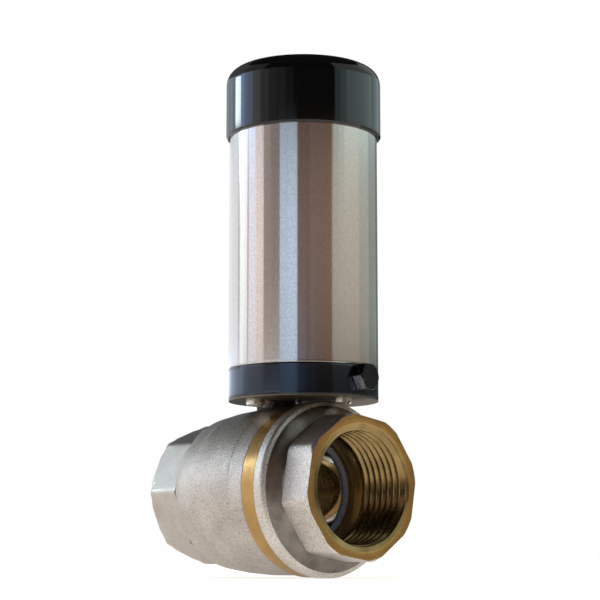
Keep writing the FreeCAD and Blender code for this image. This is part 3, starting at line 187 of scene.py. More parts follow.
asked = add_node(tree, "ShaderNodeMath", {0: path.outputs["Is Camera Ray"], 1: mirrored.outputs[0]},
                 operation="MAXIMUM")
shown = add_node(tree, "ShaderNodeMixShader", {0: asked.outputs[0], 1: paper.outputs[0],
                                               2: lifted.outputs[0]})
add_node(tree, "ShaderNodeOutputMaterial", {"Surface": shown.outputs[0]})
bm = bmesh.new()
bmesh.ops.create_grid(bm, x_segments=1, y_segments=1, size=FLOOR_SIZE)
bmesh.ops.translate(bm, verts=bm.verts, vec=(0, 0, FLOOR_HEIGHT))
floor = mesh_object("floor", bm, [material])
floor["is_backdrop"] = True
print("floor at", round(FLOOR_HEIGHT / mm, 2), "mm")

# %% [markdown]
# ## Light
# A photographer lights shiny metal with large soft boxes, and stands grey, brown and black cards around it,
# because polished metal shows nothing but its surroundings. The cards here are curved walls round the part.
# Only reflections see them, so they neither block light nor show behind the part in any view. The soft
# boxes do the opposite: they light, and no metal mirrors them.

# %% Places round the part
centre = Vector(((cad_low[0] + cad_high[0]) / 2, 0, 0.05))
CAMERA_TURN = math.degrees(math.atan2(-CAMERA_DIRECTION.y, -CAMERA_DIRECTION.x))


def around(turn, distance, height):
    """A point round the part. The turn is in degrees from the camera's own direction, to the right."""
    angle = math.radians(CAMERA_TURN + turn)
    return Vector((centre.x + distance * math.cos(angle), centre.y + distance * math.sin(angle), height))


print("the camera stands at", round(CAMERA_TURN, 1), "degrees")

# %% Soft boxes
def soft_box(name, turn, height, distance, width, tall, power, colour="#FFFFFF"):
    """A rectangular area lamp that faces the part."""
    lamp = new_object(name, bpy.data.lights.new(name, "AREA"))
    lamp.data.shape = "RECTANGLE"
    lamp.data.size = width
    lamp.data.size_y = tall
    lamp.data.energy = power
    lamp.data.color = linear(colour)[:3]
    lamp.location = around(turn, distance, height)
    aim(lamp, centre - lamp.location)
    lamp.visible_camera = False
    lamp.visible_glossy = False


soft_box("overhead", -20, 1.1, 0.9, 0.9, 0.9, 4.0)
soft_box("front_fill", -30, 0.25, 1.3, 0.9, 0.8, 4.0, "#FFF6EE")
soft_box("right_fill", 95, 0.35, 1.2, 0.6, 1.0, 2.5, "#FFF8F2")
print(len(bpy.data.lights), "lamps")


# %% Helpers: cards
CARD_STEP = 6


def mirrored_only(name, bm, colour, strength):
    """A glowing sheet that only reflections see."""
    material, tree = blank_material(name + "_paint")
    light = add_node(tree, "ShaderNodeEmission", {"Color": linear(colour), "Strength": strength})
    add_node(tree, "ShaderNodeOutputMaterial", {"Surface": light.outputs[0]})
    sheet = mesh_object(name, bm, [material])
    for ray in ("camera", "diffuse", "transmission", "volume_scatter", "shadow"):
        setattr(sheet, "visible_" + ray, False)
    sheet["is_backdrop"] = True


def card(name, start, end, profile, colour, strength):
    """A curved sheet from one angle to another. Its profile has two (distance, height) points."""
    bm = bmesh.new()
    verts = [bm.verts.new(around(start, distance, height)) for distance, height in profile]
    edge = bm.edges.new(verts)
    steps = max(1, round((end - start) / CARD_STEP))
    bmesh.ops.spin(bm, geom=verts + [edge], cent=(centre.x, centre.y, 0), axis=(0, 0, 1), dvec=(0, 0, 0),
                   angle=math.radians(end - start), steps=steps, use_merge=False)
    mirrored_only(name, bm, colour, strength)


# %% [markdown]
# A low camera sees each part of the object mirror its own height of the room: the valve sees the foot of
# the walls, the collar a strip above it, the steel tube the middle, and the lid the upper part. Each of
# these bands has its lowest and highest point, and a list of (end angle, colour, strength), going round to
# the right from behind the part. From higher up, the tube mirrors the table instead, so its band goes on
# over the table too. A small bright card stands in for the window that the lid mirrors.

# %% Bands of cards
BANDS = {
    "valve": (-0.03, 0.128, [
        (-140, "#E4E2DE", 1.0), (-63, "#F0EDE8", 1.0), (-36, "#F4EEE6", 1.25), (-9, "#C9CED4", 1.0),
        (44, "#1E1C1B", 1.0), (110, "#6E6254", 1.0), (150, "#74746E", 1.0), (182, "#2C2C2A", 1.0)]),
    "collar": (0.128, 0.158, [
        (-105, "#DDEAFF", 2.1), (-90, "#D0DAE6", 1.2), (-66, "#CBCBCB", 1.0), (-48, "#968F96", 1.0),
        (-30, "#8AA4BC", 1.0), (4, "#9FBFE4", 1.0), (18, "#64829A", 1.0), (40, "#3C4C48", 1.0),
        (150, "#141716", 1.0), (182, "#55605E", 1.0)]),
    "tube": (0.158, 0.372, [
        (-168, "#9A9CA4", 1.0), (-121, "#FAFBFF", 1.10), (-115, "#D8CDC8", 1.0), (-96, "#FFFFFF", 1.38),
        (-93, "#D9A06A", 1.0), (-77, "#F4F0F8", 1.36), (-63, "#FFEEE5", 1.20), (-49, "#A9958C", 1.0),
        (-36, "#9E8B84", 1.0), (-23, "#D0E2F8", 1.25), (-9, "#D6E8FC", 1.28), (10, "#94796D", 1.0),
        (30, "#9C8478", 1.0), (44, "#A2826F", 1.0), (56, "#CFC7BA", 1.0), (94, "#D4C9B9", 1.0),
        (120, "#BDBBB0", 1.0), (150, "#A0A6A0", 1.0), (182, "#747C7A", 1.0)]),
    "lid": (0.372, 0.50, [
        (-160, "#7E8A90", 1.0), (-140, "#C8D6DC", 1.0), (-104.5, "#D8E8F8", 1.3), (-97, "#AFC7FF", 4.0),
        (-90, "#B9CFF5", 2.6), (-80, "#CCE3FF", 1.9), (-66, "#D8DCE6", 1.2), (-52, "#BDB8BA", 0.9),
        (-40, "#9A9698", 0.8), (-26, "#908A8F", 0.7), (-14, "#6A6668", 0.6), (47, "#232323", 1.0),
        (56, "#B8D2D0", 0.8), (66, "#C8E8E4", 1.0), (120, "#DCF6F2", 1.3), (150, "#D4E8EC", 0.95),
        (182, "#9FA8AC", 0.9)]),
    "top": (0.50, 1.2, [
        (-150, "#4A4E50", 1.0), (-120, "#7A7C7A", 1.0), (-104, "#9E9C98", 1.0), (-60, "#8A8C8E", 1.0),
        (47, "#141414", 1.0), (150, "#BEC4C0", 1.0), (182, "#3A4442", 1.0)]),
}
FIRST_ANGLE = -178
WALL_DISTANCE = 1.1
TABLE_EDGE = 0.16
TABLE_HEIGHT = FLOOR_HEIGHT + 0.1 * mm
TABLE_DIMMING = 0.85
for band, (low, high, parts) in BANDS.items():
    wall = [(WALL_DISTANCE, low), (WALL_DISTANCE, high)]
    table = [(TABLE_EDGE, TABLE_HEIGHT), (WALL_DISTANCE, TABLE_HEIGHT)]
    begin = FIRST_ANGLE
    for number, (end, colour, strength) in enumerate(parts):
        card(f"{band}_card_{number}", begin, end, wall, colour, strength)
        if band == "tube":
            card(f"table_card_{number}", begin, end, table, colour, strength * TABLE_DIMMING)
        begin = end
card("window_card", -120.5, -105.5, [(1.06, 0.370), (1.06, 0.435)], "#E8FBFF", 11.0)
print(sum(len(parts) for low, high, parts in BANDS.values()), "cards in the bands")

# %% Ceiling card
CEILING_HEIGHT = 1.2
bm = bmesh.new()
bmesh.ops.create_circle(bm, cap_ends=True, radius=WALL_DISTANCE, segments=32)
bmesh.ops.translate(bm, verts=bm.verts, vec=(centre.x, centre.y, CEILING_HEIGHT))
mirrored_only("ceiling_card", bm, "#2A2826", 1.0)
print("ceiling at", CEILING_HEIGHT, "m")

# %% [markdown]
# ## Metals and plastics
# Most finishes here are metal. A metal has no colour under its reflection: its base colour tints what it
# mirrors, and its roughness says how blurred that is. Fine relief goes through a Bump node. Object
# coordinates are in metres, so a grain of 0.3 mm needs a noise scale of about 1 / 0.0003.

# %% Shared material parts
def grain(tree, size, detail=2.0, stretch=(1, 1, 1), roughness=0.55):
    """Noise whose blobs are about size millimetres wide."""
    where = add_node(tree, "ShaderNodeTexCoord")
    fitted = add_node(tree, "ShaderNodeMapping", {"Vector": where.outputs["Object"], "Scale": stretch})
    return add_node(tree, "ShaderNodeTexNoise", {"Vector": fitted.outputs[0], "Scale": 1 / (size * mm),
                                                 "Detail": detail, "Roughness": roughness})


def between(tree, noise, first, second, low=0.35, high=0.65):
    """A colour that wanders between two colours while the noise goes from low to high."""
    share = add_node(tree, "ShaderNodeMapRange", {"Value": noise.outputs["Fac"], "From Min": low,
                                                  "From Max": high})
    return add_node(tree, "ShaderNodeMix", {0: share.outputs[0], 6: linear(first), 7: linear(second)},
                    data_type="RGBA").outputs[2]


def surface(tree, colour, roughness, reliefs, uneven=None, **settings):
    """The whole surface, from its colour to the material's output.

    roughness is a number, or with uneven, a noise, the pair of numbers between which it wanders.
    reliefs lists (noise, height in millimetres, strength), the lowest layer first. Names in settings have
    underscores for spaces.
    """
    inputs = {"Base Color": colour, "Roughness": roughness}
    if uneven is not None:
        spread = add_node(tree, "ShaderNodeMapRange", {"Value": uneven.outputs["Fac"], "From Min": 0.3,
                                                       "From Max": 0.7, "To Min": roughness[0],
                                                       "To Max": roughness[1]})
        inputs["Roughness"] = spread.outputs[0]
    under = {}
    for noise, height, strength in reliefs:
        bump = add_node(tree, "ShaderNodeBump", {"Height": noise.outputs["Fac"], "Distance": height * mm,
                                                 "Strength": strength, **under})
        under = {"Normal": bump.outputs["Normal"]}
    named = {name.replace("_", " "): value for name, value in settings.items()}
    shader = add_node(tree, "ShaderNodeBsdfPrincipled", {**inputs, **under, **named})
    add_node(tree, "ShaderNodeOutputMaterial", {"Surface": shader.outputs[0]})


def turning_rings(tree, spacing):
    """Fine rings that a lathe leaves round the pipe axis.

    Radius plus length along the axis gives rings on end faces, on cylinders and on thread flanks alike.
    """
    where = add_node(tree, "ShaderNodeTexCoord")
    parts = add_node(tree, "ShaderNodeSeparateXYZ", {0: where.outputs["Object"]})
    across = add_node(tree, "ShaderNodeCombineXYZ", {1: parts.outputs[1], 2: parts.outputs[2]})
    radius = add_node(tree, "ShaderNodeVectorMath", {0: across.outputs[0]}, operation="LENGTH")
    both = add_node(tree, "ShaderNodeMath", {0: radius.outputs["Value"], 1: parts.outputs[0]},
                    operation="ADD")
    return add_node(tree, "ShaderNodeTexNoise", {"W": both.outputs[0], "Scale": 1 / (spacing * mm),
                                                 "Detail": 3.0}, noise_dimensions="1D")


# %% Forged brass, nickel plated
# Shot-blasted before plating, which leaves a satin skin with fine grit over soft forging waves. Real grit
# is about 0.2 mm wide and would not show, so it is drawn 0.5 mm wide. The inlet's flats were pressed
# smooth, so their grit is lower.
def forging_plate(name, dull, bright, grit_height=0.20, pitting=0.5):
    material, tree = blank_material(name)
    grit = grain(tree, 0.5, roughness=0.7)
    waves = grain(tree, 3.5)
    tint = between(tree, grain(tree, 9.0, 3.0), dull, bright)
    pits = between(tree, grit, "#807870", "#FFFFFF", 0.30, 0.58)
    speckled = add_node(tree, "ShaderNodeMix", {0: pitting, 6: tint, 7: pits}, data_type="RGBA",
                        blend_type="MULTIPLY")
    surface(tree, speckled.outputs[2], (0.32, 0.44), [(waves, 0.08, 0.15), (grit, grit_height, 0.8)], grit,
            Metallic=1.0)
    return material


plated = forging_plate("nickel_plated_forged_brass", "#CCC5BD", "#DCD7D0")
end_plated = forging_plate("nickel_plated_end_casting", "#E6E1DA", "#F4F1ED")
pressed_flats = forging_plate("nickel_plated_spanner_flats", "#C6C0B8", "#D6D1CA", 0.07, 0.25)
print("plating:", plated.name, end_plated.name, pressed_flats.name)

# %% Neck: near-black painted shade
# The neck under the drive is painted near black, with a rough grit: painted shade for the dark gap between
# the body and the base plate. It mirrors little.
neck_painted_shade, tree = blank_material("neck_black_painted_shade")
neck_shade_grit = grain(tree, 0.6, 3.0)
surface(tree, between(tree, neck_shade_grit, "#1C1916", "#2E2924"), (0.45, 0.6), [(neck_shade_grit, 0.1, 0.6)],
        neck_shade_grit, Metallic=0.3)
print("scale:", neck_painted_shade.name)

# %% Turned nickel plate
# The hollow behind the outlet octagon is turned, so it is smooth and mirrors the dark side of the room. Its
# base colour is also kept far darker than the plated skin: painted shade for the recess between flange and
# octagon. Its rings are drawn 0.3 mm apart, coarser than a real feed.
hollow_nickel_shade, tree = blank_material("hollow_nickel_painted_shade")
rings = turning_rings(tree, 0.3)
surface(tree, between(tree, grain(tree, 5.0, 3.0), "#7C7771", "#98938D"), (0.28, 0.36),
        [(rings, 0.01, 0.4)], rings, Metallic=1.0)
print("turned plate:", hollow_nickel_shade.name)

# %% Turned brass
# Freshly cut on a lathe: bright yellow metal with rings. A real feed is near 0.1 mm a turn, and the rings
# are drawn 0.22 mm apart, coarse enough to show.
turned_brass, tree = blank_material("turned_brass")
rings = turning_rings(tree, 0.22)
surface(tree, between(tree, grain(tree, 7.0, 3.0), "#B4905A", "#C8A468"), (0.24, 0.34),
        [(rings, 0.03, 0.7)], rings, Metallic=1.0)
print("turned brass:", turned_brass.name)

# %% Threaded brass, with painted shade
# Inside, brass mirrors brass, and each bounce takes blue and light away. On top of that, the base colour here
# is a darker olive brown than the turned brass: painted shade for the dim inside of the bore. The marks of
# the tap are drawn 0.35 mm apart, coarser than real ones.
bore_brass_painted_shade, tree = blank_material("threaded_brass_painted_shade")
rings = turning_rings(tree, 0.35)
stain = grain(tree, 5.0, 4.0)
surface(tree, between(tree, stain, "#8C774E", "#A89062"), (0.16, 0.24), [(rings, 0.012, 0.5)], stain,
        Metallic=1.0)
print("thread:", bore_brass_painted_shade.name)

# %% [markdown]
# ## Turning and pressing
# Both ends of the valve are round blanks with eight flats. On a real line, brass is forged hot into a die,
# which gives the octagon soft corners, and a lathe then bores it and cuts the thread. The helpers follow
# that order: spin an outline round an axis, press flats into it, and cut a helical thread.

# %% Helper: spin an outline into a solid
MERGE_DISTANCE = 1e-7


def spun(outline, steps, axis="X", corners=()):
    """Spins a closed outline of (along, radius) in millimetres.

    corners lists (index, radius) of outline corners that are rounded before the spin.
    """
    bm = bmesh.new()
    place = {"X": lambda along, radius: (along * mm, 0, radius * mm),
             "Z": lambda along, radius: (radius * mm, 0, along * mm)}[axis]
    verts = [bm.verts.new(place(along, radius)) for along, radius in outline]
    for first, second in zip(verts, verts[1:] + verts[:1]):
        bm.edges.new((first, second))
    for radius in sorted({radius for index, radius in corners}):
        chosen = [verts[index] for index, size in corners if size == radius]
        bmesh.ops.bevel(bm, geom=chosen, affect="VERTICES", offset=radius * mm, offset_type="OFFSET",
                        segments=8 if radius > 1 else 3, profile=0.5, material=-1)
    direction = (1, 0, 0) if axis == "X" else (0, 0, 1)
    bmesh.ops.spin(bm, geom=list(bm.verts) + list(bm.edges), cent=(0, 0, 0), axis=direction, dvec=(0, 0, 0),
                   angle=2 * math.pi, steps=steps, use_merge=True)
    bmesh.ops.remove_doubles(bm, verts=bm.verts, dist=MERGE_DISTANCE)
    bmesh.ops.recalc_face_normals(bm, faces=bm.faces)
    return bm


# %% Helpers: outlines and smooth steps
def run(start, end, pieces):
    """Points from start towards end, without the end, so that runs join into one outline."""
    return [(start[0] + (end[0] - start[0]) * step / pieces, start[1] + (end[1] - start[1]) * step / pieces)
            for step in range(pieces)]


def runs(corners, pieces):
    """One run after another, from corner to corner."""
    points = []
    for start, end, count in zip(corners, corners[1:], pieces):
        points += run(start, end, count)
    return points


def smooth(value, low, high):
    """0 below low, 1 above high, and an even rise between them."""
    part = min(max((value - low) / (high - low), 0), 1)
    return part * part * (3 - 2 * part)


# %% Helpers: press a shape and give its faces materials
def press(bm, wanted_radius):
    """Moves each point in or out from the pipe axis, to wanted_radius(along, radius, angle) in mm."""
    for vert in bm.verts:
        radius = math.hypot(vert.co.y, vert.co.z) / mm
        if radius > 0:
            wanted = wanted_radius(vert.co.x / mm, radius, math.atan2(vert.co.z, vert.co.y))
            vert.co.y *= wanted / radius
            vert.co.z *= wanted / radius


def paint(bm, slot_of):
    """Gives each face the material number from slot_of(along, radius, normal), with lengths in mm."""
    for face in bm.faces:
        middle = face.calc_center_median() / mm
        face.material_index = slot_of(middle.x, math.hypot(middle.y, middle.z), face.normal)


# %% Helper: flats
SIDES = 8
ACROSS_FLATS = 38.0


def octagon_radius(angle, turn, sharpness):
    """The radius of the octagon in the direction of an angle. Its corners are soft where sharpness is low."""
    total = 0.0
    for side in range(SIDES):
        facing = math.cos(angle - turn - 2 * math.pi * (side + 0.5) / SIDES)
        total += max(facing / (ACROSS_FLATS / 2), 0) ** sharpness
    return total ** (-1 / sharpness)


# %% [markdown]
# The thread is the parallel pipe thread G1. It has 11 turns to the inch and flanks at 55 degrees, with
# rounded crests and roots. A cosine has the right roundness but flanks that curve too much, so the wave
# below is stretched towards a triangle. The mouth of the bore is a cone that the thread runs into.

# %% Helper: cut a thread
THREAD_PITCH = 2.309
THREAD_HEIGHT = 1.479
THREAD_LENGTH = 17.0
RUN_OUT_START, RUN_OUT_END = 1.8, 0.2
MINOR_RADIUS = 15.146
MOUTH_RADIUS = 17.45
MOUTH_DEPTH = 0.8
MOUTH_SLOPE = 2.88
CREST_ROUNDING = 0.95


def thread_depth(along, angle):
    """How far the thread's groove is cut at a point of the bore."""
    turn = along / THREAD_PITCH - angle / (2 * math.pi)
    wave = math.asin(CREST_ROUNDING * math.cos(2 * math.pi * turn)) / math.asin(CREST_ROUNDING)
    return THREAD_HEIGHT * (0.5 + 0.5 * wave)


def threaded_radius(along, angle, inside):
    """The bore's radius at a distance inside the end face: a conical mouth, the thread and its run-out."""
    mouth = MOUTH_RADIUS - MOUTH_SLOPE * inside
    left = 1 - smooth(inside, THREAD_LENGTH - RUN_OUT_START, THREAD_LENGTH - RUN_OUT_END)
    return max(mouth, MINOR_RADIUS + thread_depth(along, angle) * left)


print("thread:", round(THREAD_LENGTH / THREAD_PITCH, 1), "turns")

# %% Helper: finish a piece
SHARP_ANGLE = 35


def smooth_thread(mesh, slot):
    """Clears the hard edges between the thread's own faces, whose rows cross the helix at a slant."""
    inside = {}
    for polygon in mesh.polygons:
        for edge in polygon.edge_keys:
            inside[edge] = inside.get(edge, True) and polygon.material_index == slot
    for edge in mesh.edges:
        if inside[edge.key]:
            edge.use_edge_sharp = False


def finished(name, bm, materials, body, replaced):
    """Makes the object, smooths it between sharp edges, and ties it to the frame."""
    piece = mesh_object(name, bm, materials)
    for polygon in piece.data.polygons:
        polygon.use_smooth = True
    piece.data.set_sharp_from_angle(angle=math.radians(SHARP_ANGLE))
    if bore_brass_painted_shade in materials:
        smooth_thread(piece.data, materials.index(bore_brass_painted_shade))
    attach(piece, body)
    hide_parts(*replaced)
    print(name, len(piece.data.vertices), "vertices")
    return piece


# %% [markdown]
# ## The forged body
# The body is one forging: an inlet octagon with a corner on top, a shoulder, and a barrel with a shallow
# bare panel on the side. The outline is spun with close steps where the shape changes, then flats, panel
# and thread are pressed in by moving the blank's own points.

# %% Forged body: the blank
VALVE_STEPS = 256
BLANK_RADIUS = 20.6
BARREL_RADIUS = 23.5
FLATS_END = 12.6
BARREL_END = 47.0
inlet = run((0.0, BLANK_RADIUS), (FLATS_END, BLANK_RADIUS), 25)
shoulder = [(FLATS_END, BLANK_RADIUS), (12.65, 19.75), (12.8, 20.1), (13.1, 20.35), (13.6, 20.55),
            (14.2, 20.7), (14.9, 20.95), (15.5, 21.35), (15.9, 21.7), (16.2, 21.87), (16.6, 21.98),
            (17.2, 22.07)]
barrel = runs([(17.9, 22.16), (21.0, 22.55), (25.0, 23.0), (30.0, 23.3), (34.0, BARREL_RADIUS),
               (46.9, BARREL_RADIUS)], [5, 9, 12, 9, 31])
lip = [(46.9, BARREL_RADIUS), (47.12, 23.4), (47.2, 23.15), (47.2, 21.3), (47.7, 21.3), (47.7, 20.25)]
socket = [(42.2, 20.25), (42.2, 18.4), (27.2, 18.4), (27.2, 16.25), (22.15, 16.25), (22.15, 12.5),
          (19.0, 12.5)]
bore = runs([(THREAD_LENGTH, MINOR_RADIUS), (MOUTH_DEPTH, MINOR_RADIUS), (0.0, MOUTH_RADIUS)], [112, 8])
bm = spun(inlet + shoulder + barrel + lip + socket + bore + [(0.0, MOUTH_RADIUS)], VALVE_STEPS)
print("body blank", len(bm.verts), "points")

# %% [markdown]
# The end of the octagon is rounded a little where its corners would be sharpest. The panel is 0.15 mm
# high and has edges 0.9 mm wide. Below and above, it fades out between two angles, in degrees from level.

# %% Forged body: flats, panel and thread
OUTSIDE = 18.5
IN_THREAD = 17.5
BODY_SHARPNESS = 80
END_ROUNDING = 1.2
CORNER_START, CORNER_FULL = 19.2, 20.5
PANEL_START, PANEL_END, PANEL_STEP, PANEL_EDGE = 23.2, 41.3, 0.15, 0.9
PANEL_FOOT, PANEL_TOP = (-42, -24), (58, 84)


def body_radius(along, radius, angle):
    if radius > OUTSIDE and along < BARREL_END:
        if along < FLATS_END + 0.01:
            radius = octagon_radius(angle, math.radians(90), BODY_SHARPNESS)
            near_end = max(END_ROUNDING - along, 0) / END_ROUNDING
            radius -= END_ROUNDING * near_end ** 2 * smooth(radius, CORNER_START, CORNER_FULL)
        across = (smooth(along, PANEL_START, PANEL_START + PANEL_EDGE)
                  * (1 - smooth(along, PANEL_END - PANEL_EDGE, PANEL_END)))
        lift = math.degrees(math.atan2(math.sin(angle), -math.cos(angle)))
        return radius + PANEL_STEP * across * smooth(lift, *PANEL_FOOT) * (1 - smooth(lift, *PANEL_TOP))
    if along < THREAD_LENGTH + 0.1 and radius < IN_THREAD:
        return threaded_radius(along, angle, along)
    return radius


press(bm, body_radius)
across_corners = 2 * octagon_radius(0, 0, BODY_SHARPNESS)
print("inlet octagon", ACROSS_FLATS, "mm across flats,", round(across_corners, 1), "mm across corners")

# %% Forged body: materials
PLATE, BRASS, THREAD, NECK_SHADE, FLATS = range(5)
BORE_WALL = 17.4


def body_slot(along, radius, normal):
    end_face = along < 0.5 and radius < 20.0 and abs(normal.x) > 0.8
    socket = along > 18 and radius < 20.3
    if end_face:
        return BRASS
    if socket or radius < BORE_WALL:
        return THREAD if along < 19 else BRASS
    return FLATS if along < FLATS_END and radius > OUTSIDE else PLATE


paint(bm, body_slot)
print("body faces:", len(bm.faces))

# %% Forged body: the stem's neck
STEM_X = 35
neck = spun([(20.0, 3.55), (20.0, 6.5), (24.6, 6.5), (24.6, 5.0), (31.2, 5.0), (31.2, 3.55)], 64, "Z")
bmesh.ops.translate(neck, verts=neck.verts, vec=(STEM_X * mm, 0, 0))
# The neck gets the near-black painted shade.
for face in neck.faces:
    face.material_index = NECK_SHADE
neck_mesh = bpy.data.meshes.new("neck")
neck.to_mesh(neck_mesh)
neck.free()
bm.from_mesh(neck_mesh)
bpy.data.meshes.remove(neck_mesh)
forged_body = finished("forged_body", bm, [plated, turned_brass, bore_brass_painted_shade, neck_painted_shade, pressed_flats],
                       "housing", ["valve_body"])

# %% [markdown]
# ## The outlet end
# The outlet end screws into the body. Its joint band and end face are turned after plating, so they show
# bare brass, while the narrow flange, the hollow behind it and the octagon keep the plated skin.

# %% Outlet end: the blank
OUTLET_FACE = 70.0
joint_band = [(42.4, 20.2), (47.75, 20.2), (47.75, 23.7)] + run((47.95, 24.0), (52.9, 24.0), 6)
flange = ([(52.9, 24.0), (53.0, 23.8), (53.15, 24.05)] + run((53.35, 24.2), (55.9, 24.2), 5)
          + [(55.9, 24.2), (56.3, 24.05), (56.6, 23.7)])
octagon = runs([(56.75, 23.2), (58.2, BLANK_RADIUS), (60.2, BLANK_RADIUS), (68.4, BLANK_RADIUS),
                (OUTLET_FACE, BLANK_RADIUS)], [10, 14, 14, 8]) + [(OUTLET_FACE, BLANK_RADIUS)]
bore = runs([(OUTLET_FACE, MOUTH_RADIUS), (OUTLET_FACE - MOUTH_DEPTH, MINOR_RADIUS),
             (OUTLET_FACE - THREAD_LENGTH, MINOR_RADIUS), (48.5, 15.0)], [8, 112, 12])
seat_side = [(48.5, 15.0), (47.85, 14.6), (47.85, 16.25), (42.4, 16.25)]
bm = spun(joint_band + flange + octagon + bore + seat_side, VALVE_STEPS)
print("outlet blank", len(bm.verts), "points")

# %% Outlet end: octagon, hollow and thread
OUTLET_TURN = 13.0
OUTLET_SHARPNESS = 42
FLANGE_RADIUS, HOLLOW_DEPTH = 23.2, 4.75
FLANGE_END = 56.7
HOLLOW_START, HOLLOW_END = 56.2, 59.3
OCTAGON_START, OCTAGON_FULL = 58.9, 59.9
CORNER_CUT, CORNER_SLOPE = 19.6, 0.7


def outlet_radius(along, radius, angle):
    if radius > OUTSIDE and along > FLANGE_END:
        flats = octagon_radius(angle, math.radians(90 + OUTLET_TURN), OUTLET_SHARPNESS)
        hollow = FLANGE_RADIUS - HOLLOW_DEPTH * smooth(along, HOLLOW_START, HOLLOW_END)
        wanted = max(hollow, hollow + (flats - hollow) * smooth(along, OCTAGON_START, OCTAGON_FULL))
        return min(wanted, CORNER_CUT + CORNER_SLOPE * (OUTLET_FACE - along))
    if along > OUTLET_FACE - THREAD_LENGTH - 0.05 and radius < IN_THREAD:
        return threaded_radius(along, angle, OUTLET_FACE - along)
    return radius


press(bm, outlet_radius)
print("outlet octagon turned by", OUTLET_TURN, "degrees")

# %% Outlet end: materials
HOLLOW = 3
BAND_END = 53.0


def outlet_slot(along, radius, normal):
    end_face = along > OUTLET_FACE - 0.1
    if end_face:
        return BRASS
    if radius < BORE_WALL:
        return THREAD if along > BAND_END + 0.4 else BRASS
    if along < BAND_END:
        return BRASS
    # The hollow gets the darkened nickel, which is painted shade for the recess.
    return HOLLOW if FLANGE_END < along < HOLLOW_END + 0.1 else PLATE


paint(bm, outlet_slot)
outlet_end = finished("outlet_end", bm, [end_plated, turned_brass, bore_brass_painted_shade, hollow_nickel_shade], "housing",
                      ["end_cap"])

# %% [markdown]
# ## The drive's shell
# The collar, the tube and the lid are plain turned or moulded rings. What makes them look real is the
# small rounding of each edge, which catches a thin line of light, and a smooth enough circle for mirrors.
# Each long wall has one more ring of points near its ends. Without it, the rounding's tilt would spread
# over the whole wall in smooth shading, and bend every reflection.

# %% Tube finish
# Stainless steel, polished round and round with a fine belt: sharp reflections sideways, smeared up and
# down. The scratches are drawn 0.25 mm high and four millimetres long, coarser than a belt's.
tube_steel, tree = blank_material("brushed_stainless_steel")
scratches = grain(tree, 0.25, stretch=(0.06, 0.06, 1.0))
specks = grain(tree, 0.35)
along_belt = add_node(tree, "ShaderNodeTangent", direction_type="RADIAL", axis="Z")
surface(tree, between(tree, specks, "#C9C6C4", "#DAD8D7"), 0.14,
        [(scratches, 0.001, 0.3), (specks, 0.002, 0.35)], Metallic=1.0, Anisotropic=0.9,
        Anisotropic_Rotation=0.25, Tangent=along_belt.outputs[0])
print("tube:", tube_steel.name)

# %% Black finishes
# The collar is aluminium, anodised black: satin, a little blue, with its fine tooth drawn 0.25 mm wide to
# show. The lid is moulded plastic with a high gloss and the soft waves of its mould.
satin_black, tree = blank_material("black_anodised_aluminium")
tooth = grain(tree, 0.25, 3.0)
surface(tree, between(tree, grain(tree, 6.0), "#020304", "#050608"), (0.12, 0.17),
        [(tooth, 0.006, 0.3)], tooth, Specular_IOR_Level=1.0, Specular_Tint=linear("#CFE2FF"))
gloss_black, tree = blank_material("glossy_black_abs")
flow = grain(tree, 12.0, 1.0)
surface(tree, between(tree, flow, "#040505", "#070808"), 0.07, [(flow, 0.01, 0.1)], Coat_Weight=0.15,
        Coat_Roughness=0.04)
print("black:", satin_black.name, gloss_black.name)

# %% Tube, collar and lid
TUBE_X = 45.5


def upright(outline, corners, steps=192):
    """A ring of (radius, height) points in millimetres, spun round the drive's upright axis."""
    bm = spun([(height, radius) for radius, height in outline], steps, "Z", corners)
    bmesh.ops.translate(bm, verts=bm.verts, vec=(TUBE_X * mm, 0, 0))
    return bm


bm = upright([(19.5, 33.6), (21.0, 33.6), (21.0, 34.3), (21.0, 115.5), (21.0, 116.2), (19.5, 116.2)],
             [(1, 0.15), (4, 0.15)], 256)
tube_shell = finished("tube_shell", bm, [tube_steel], "housing", ["housing_tube"])
bm = upright([(19.45, 25.0), (21.0, 25.0), (21.0, 25.8), (21.0, 32.8), (21.0, 33.55), (19.4, 33.55),
              (19.4, 38.6), (17.9, 38.6), (17.9, 32.6), (19.45, 32.6)], [(1, 0.25), (4, 0.2)])
collar_ring = finished("collar_ring", bm, [satin_black], "housing", ["collar"])
bm = upright([(0.0, 117.5), (21.05, 117.5), (21.05, 99.9), (21.6, 99.9), (22.1, 100.4), (22.1, 101.2),
              (22.1, 115.0), (22.1, 120.0), (17.0, 120.0), (0.0, 120.0)], [(7, 4.4)])
lid_shell = finished("lid_shell", bm, [gloss_black], "housing", ["top_cover"])

# %% [markdown]
# ## The pieces that keep their CAD shape
# The other nodes are small or inside, and their CAD shape is right. They still get a finish each. One table
# holds what differs: two colours, how metallic, how rough, the grain's width and height in millimetres, and
# the nodes that have the finish. A grain under 0.5 mm stands for tooling marks that are finer in reality.

